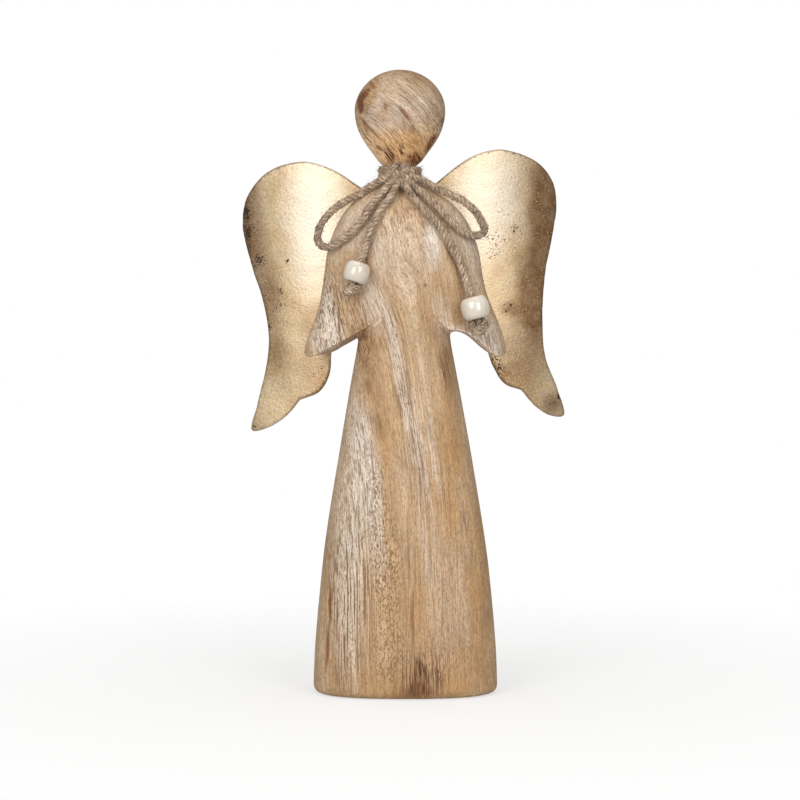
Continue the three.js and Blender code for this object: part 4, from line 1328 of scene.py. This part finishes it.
leafLook = {
    "gold": "#d5be9b",
    "deepGold": "#c5a780",
    # the next three: browned leaf with painted shade, a painted highlight, and a painted reflection for the tips
    "patinaAndShade": "#866141",
    "bandHighlight": "#d6c9b6",
    "tipSheen": "#f6dcb4",
    "ground": "#2e2017",
    "glint": "#ecd3a8",
    "roughness": (0.40, 0.50),
    "groundRoughness": 0.3,  # on top of that, where the ground shows
    "groundMetallic": 0.15,
    "bump": {"Strength": 0.65, "Distance": 0.11 * metre},
    "wrinkleShade": (0.34, 0.66, 0.86, 1.09),  # what the wrinkles' noise is mapped from and to
    "clustering": (0.4, 0.7, -0.05, 0.03),  # likewise, for how the specks gather
    "bareFrom": (0.71, 0.76),  # the wear at which the ground begins to show, and shows fully
    "noises": {  # size in mm, detail and roughness
        "patches": (14, 3, 0.6),
        "blots": (4, 3, 0.6),
        "wrinkles": (0.9, 3, 0.6),  # the leaf lies in small wrinkles
        "specks": (0.62, 2, 0.5),
        "glints": (0.55, 2, 0.5),
        "clusters": (7, 2, 0.5),  # of specks
    },
    "layers": [  # as for the wood
        # a painted highlight, a painted reflection on the tips, and browned leaf with painted shade
        ("highlighted", "bandHighlight", ("bandHighlight",)),
        ("sheenedTips", "tipSheen", ("tipSheen",)),
        ("darkenedLeaf", "patinaAndShade", ("patinaAndShade", 0.08, 0.75, 0, 0.92), ("blots", 0.3, 0.65, 0.65, 1)),
        ("sparks", "glint", ("glints", 0.64, 0.7), ("darkenedLeaf",)),
    ],
}


def champagneLeaf(look):
    # Imitation gold leaf on sheet steel, laid on a brown ground and rubbed: satin, with specks worn through
    material = newMaterial("rubbedChampagneLeaf")
    sheet = addNode(material, "Attribute", output="Vector", attribute_name="sheet")
    sources = {kind: addNode(material, "Attribute", output="Fac", attribute_name=kind) for kind in leafMarks}
    for name, (size, detail, roughness) in look["noises"].items():
        sources[name] = addNode(
            material, "TexNoise", {"Vector": sheet, "Scale": 1 / size, "Detail": detail, "Roughness": roughness}
        )
    colour = addNode(
        material, "ValToRGB", [sources["patches"]], stops=[(0.35, look["deepGold"]), (0.6, look["gold"])]
    )
    colour = paintOver(material, sources, colour, look, look["layers"])
    wrinkles = sources["wrinkles"]
    fine = addNode(material, "MapRange", [wrinkles, *look["wrinkleShade"]])
    colour = addNode(material, "VectorMath", {0: colour, "Scale": fine}, operation="SCALE")
    clusters = addNode(material, "MapRange", [sources["clusters"], *look["clustering"]])
    wear = addNode(material, "Math", [sources["specks"], sources["worn"]], operation="ADD")
    sources["wear"] = addNode(material, "Math", [wear, clusters], operation="ADD")
    colour = paintOver(material, sources, colour, look, [("bare", "ground", ("wear", *look["bareFrom"]))])
    bare = sources["bare"]
    satin = addNode(material, "MapRange", [wrinkles, 0.3, 0.7, *look["roughness"]])
    matt = addNode(material, "MapRange", [bare, 0, 1, 0, look["groundRoughness"]])
    height = addNode(material, "Math", [wrinkles, bare], operation="SUBTRACT")
    return setShader(material, {
        "Base Color": colour,
        "Metallic": addNode(material, "MapRange", [bare, 0, 1, 1, look["groundMetallic"]]),
        "Roughness": addNode(material, "Math", [satin, matt], operation="ADD"),
        "Normal": addNode(material, "Bump", {**look["bump"], "Height": height}),
    })


setPlace(cutWings(champagneLeaf(leafLook)), "gilt_metal", "wings")


# Two pan-head screws with a cross recess hold the sheet on the back

screwSizes = {
    "shank": 2.8,
    "length": 11,
    "head": 5.6,
    "headHeight": 1.9,
    "sideHeight": 0.35,  # of the head's straight side, as a share of its height
    "bevel": 0.15,
    "recessLength": 3.1,
    "recessWidth": 0.9,
    "recessDepth": 0.9,
    "around": 40,
    "sharpAngle": 35,
}
headForm = [(0.47, 0.58), (0.38, 0.85), (0.2, 1), (0, 1)]  # rounding over: shares of the head's width and height
steelLook = {"steel": "#8d8372", "roughness": (0.30, 0.50), "cloudsPerMetre": 900}


def zincSteel(look):
    # Zinc-plated steel, rolled: a dull grey metal with a faint yellow cast
    material = newMaterial("zincPlatedSteel")
    place = addNode(material, "TexCoord", output="Object")
    clouds = addNode(material, "TexNoise", {"Vector": place, "Scale": look["cloudsPerMetre"], "Detail": 3})
    return setShader(material, {
        "Base Color": tint(look["steel"]),
        "Metallic": 1,
        "Roughness": addNode(material, "MapRange", [clouds, 0, 1, *look["roughness"]]),
    })


def turnedScrew(name, material):
    s = screwSizes
    shank, head, height, bevel = s["shank"] / 2, s["head"] / 2, s["headHeight"], s["bevel"]
    profile = [(0, -s["length"]), (shank, -s["length"] + s["shank"]), (shank, -bevel / 3)]
    profile += [(head - bevel, 0), (head, bevel), (head, height * s["sideHeight"])]
    profile += [(s["head"] * r, height * y) for r, y in headForm]
    made = bmesh.new()
    rings = [
        [made.verts.new((r * math.cos(a), y, r * math.sin(a))) for a in roundAngles(s["around"] if r else 1)]
        for r, y in profile
    ]
    for low, high in zip(rings, rings[1:]):
        for k in range(s["around"]):
            j = (k + 1) % s["around"]
            corners = [low[k % len(low)], low[j % len(low)], high[j % len(high)], high[k % len(high)]]
            made.faces.new(list(dict.fromkeys(corners)))
    bmesh.ops.recalc_face_normals(made, faces=made.faces)
    screw = addObject(name, madeInto(bpy.data.meshes.new(name), made))
    for across, up in ((s["recessLength"], s["recessWidth"]), (s["recessWidth"], s["recessLength"])):
        block = bmesh.new()
        bmesh.ops.create_cube(block, size=1)
        for v in block.verts:
            v.co = (v.co.x * across, v.co.y * 2 * s["recessDepth"] + height, v.co.z * up)
        boolean(screw, addObject("recess", madeInto(bpy.data.meshes.new("recess"), block)), "DIFFERENCE")
    screw.data.materials.clear()
    screw.data.materials.append(material)
    screw.data.shade_smooth()
    screw.data.set_sharp_from_angle(angle=math.radians(s["sharpAngle"]))
    return screw


def driveScrews(material):
    w = wingSheet
    turn, y = math.radians(w["turn"]), backPlane + gap + w["thickness"] + gap
    for name, height in screwHeights.items():
        screw = turnedScrew(f"wing_screw_{name}_steel", material)
        up = height - w["pivot"]
        at = Vector((w["middle"] - up * math.sin(turn), y, w["pivot"] + up * math.cos(turn)))
        for v in screw.data.vertices:
            v.co = (v.co + at) * metre
        setPlace(screw, "screw_steel", f"wing_screw_{name}")


driveScrews(zincSteel(steelLook))


# Studio: a pale floor that fades into a white surround, and three softboxes

studio = {
    "floor": "#f7f5f2",
    "floorReach": (0.04, 0.25),  # metres from the middle where the floor starts and ends its fade
    "floorCover": 0.4,
    "surround": 0.42,
    "boxes": {  # turned round the figure in degrees, height and distance in metres
        "leftBox": {"turn": -29, "height": 0.40, "away": 0.95, "size": (0.5, 0.56), "power": 5.2},
        "rightBox": {"turn": 27, "height": 0.40, "away": 0.95, "size": (0.46, 0.54), "power": 4.0},
        "topBox": {"turn": 0, "height": 1.1, "away": 0.1, "size": (0.6, 0.6), "power": 2.4},
    },
    "aim": (0, 0, 0.11),
}


def setSurround(s):  # white where the camera sees it, and dimmer as a light
    world = bpy.data.worlds.new("white surround")
    bpy.context.scene.world = world
    world.use_nodes = True
    white = (1, 1, 1, 1)
    ground = world.node_tree.nodes["Background"]
    fill(world, ground, {"Color": white, "Strength": s["surround"]})
    seen = addNode(world, "Background", {"Color": white})
    rays = addNode(world, "LightPath", output="Is Camera Ray")
    mixed = addNode(world, "MixShader", [rays, ground.outputs[0], seen])
    fill(world, world.node_tree.nodes["World Output"], {"Surface": mixed})


def hangBoxes(s):
    for name, box in s["boxes"].items():
        light = bpy.data.lights.new(name, "AREA")
        light.shape = "RECTANGLE"
        light.size, light.size_y = box["size"]
        light.energy = box["power"]
        lamp = addObject(name, light)
        a = math.radians(box["turn"])
        lamp.location = (box["away"] * math.sin(a), -box["away"] * math.cos(a), box["height"])
        lamp.rotation_euler = (Vector(s["aim"]) - lamp.location).to_track_quat("-Z", "Y").to_euler()


def layFloor(s):
    material = newMaterial("paleStudioFloor")
    place = addNode(material, "TexCoord", output="Object")
    away = addNode(material, "VectorMath", [place], output="Value", operation="LENGTH")
    setShader(material, {
        "Base Color": tint(s["floor"]),
        "Roughness": 0.9,
        "Alpha": addNode(material, "MapRange", [away, *s["floorReach"], s["floorCover"], 0]),
    })
    made = bmesh.new()
    bmesh.ops.create_circle(made, cap_ends=True, segments=96, radius=s["floorReach"][1])
    mesh = madeInto(bpy.data.meshes.new("studio_floor"), made)
    mesh.materials.append(material)
    floor = addObject("studio_floor", mesh)
    floor.location.z = -0.0002  # just under the foot


bpy.context.scene.view_settings.view_transform = "Standard"
setSurround(studio)
hangBoxes(studio)
layFloor(studio)
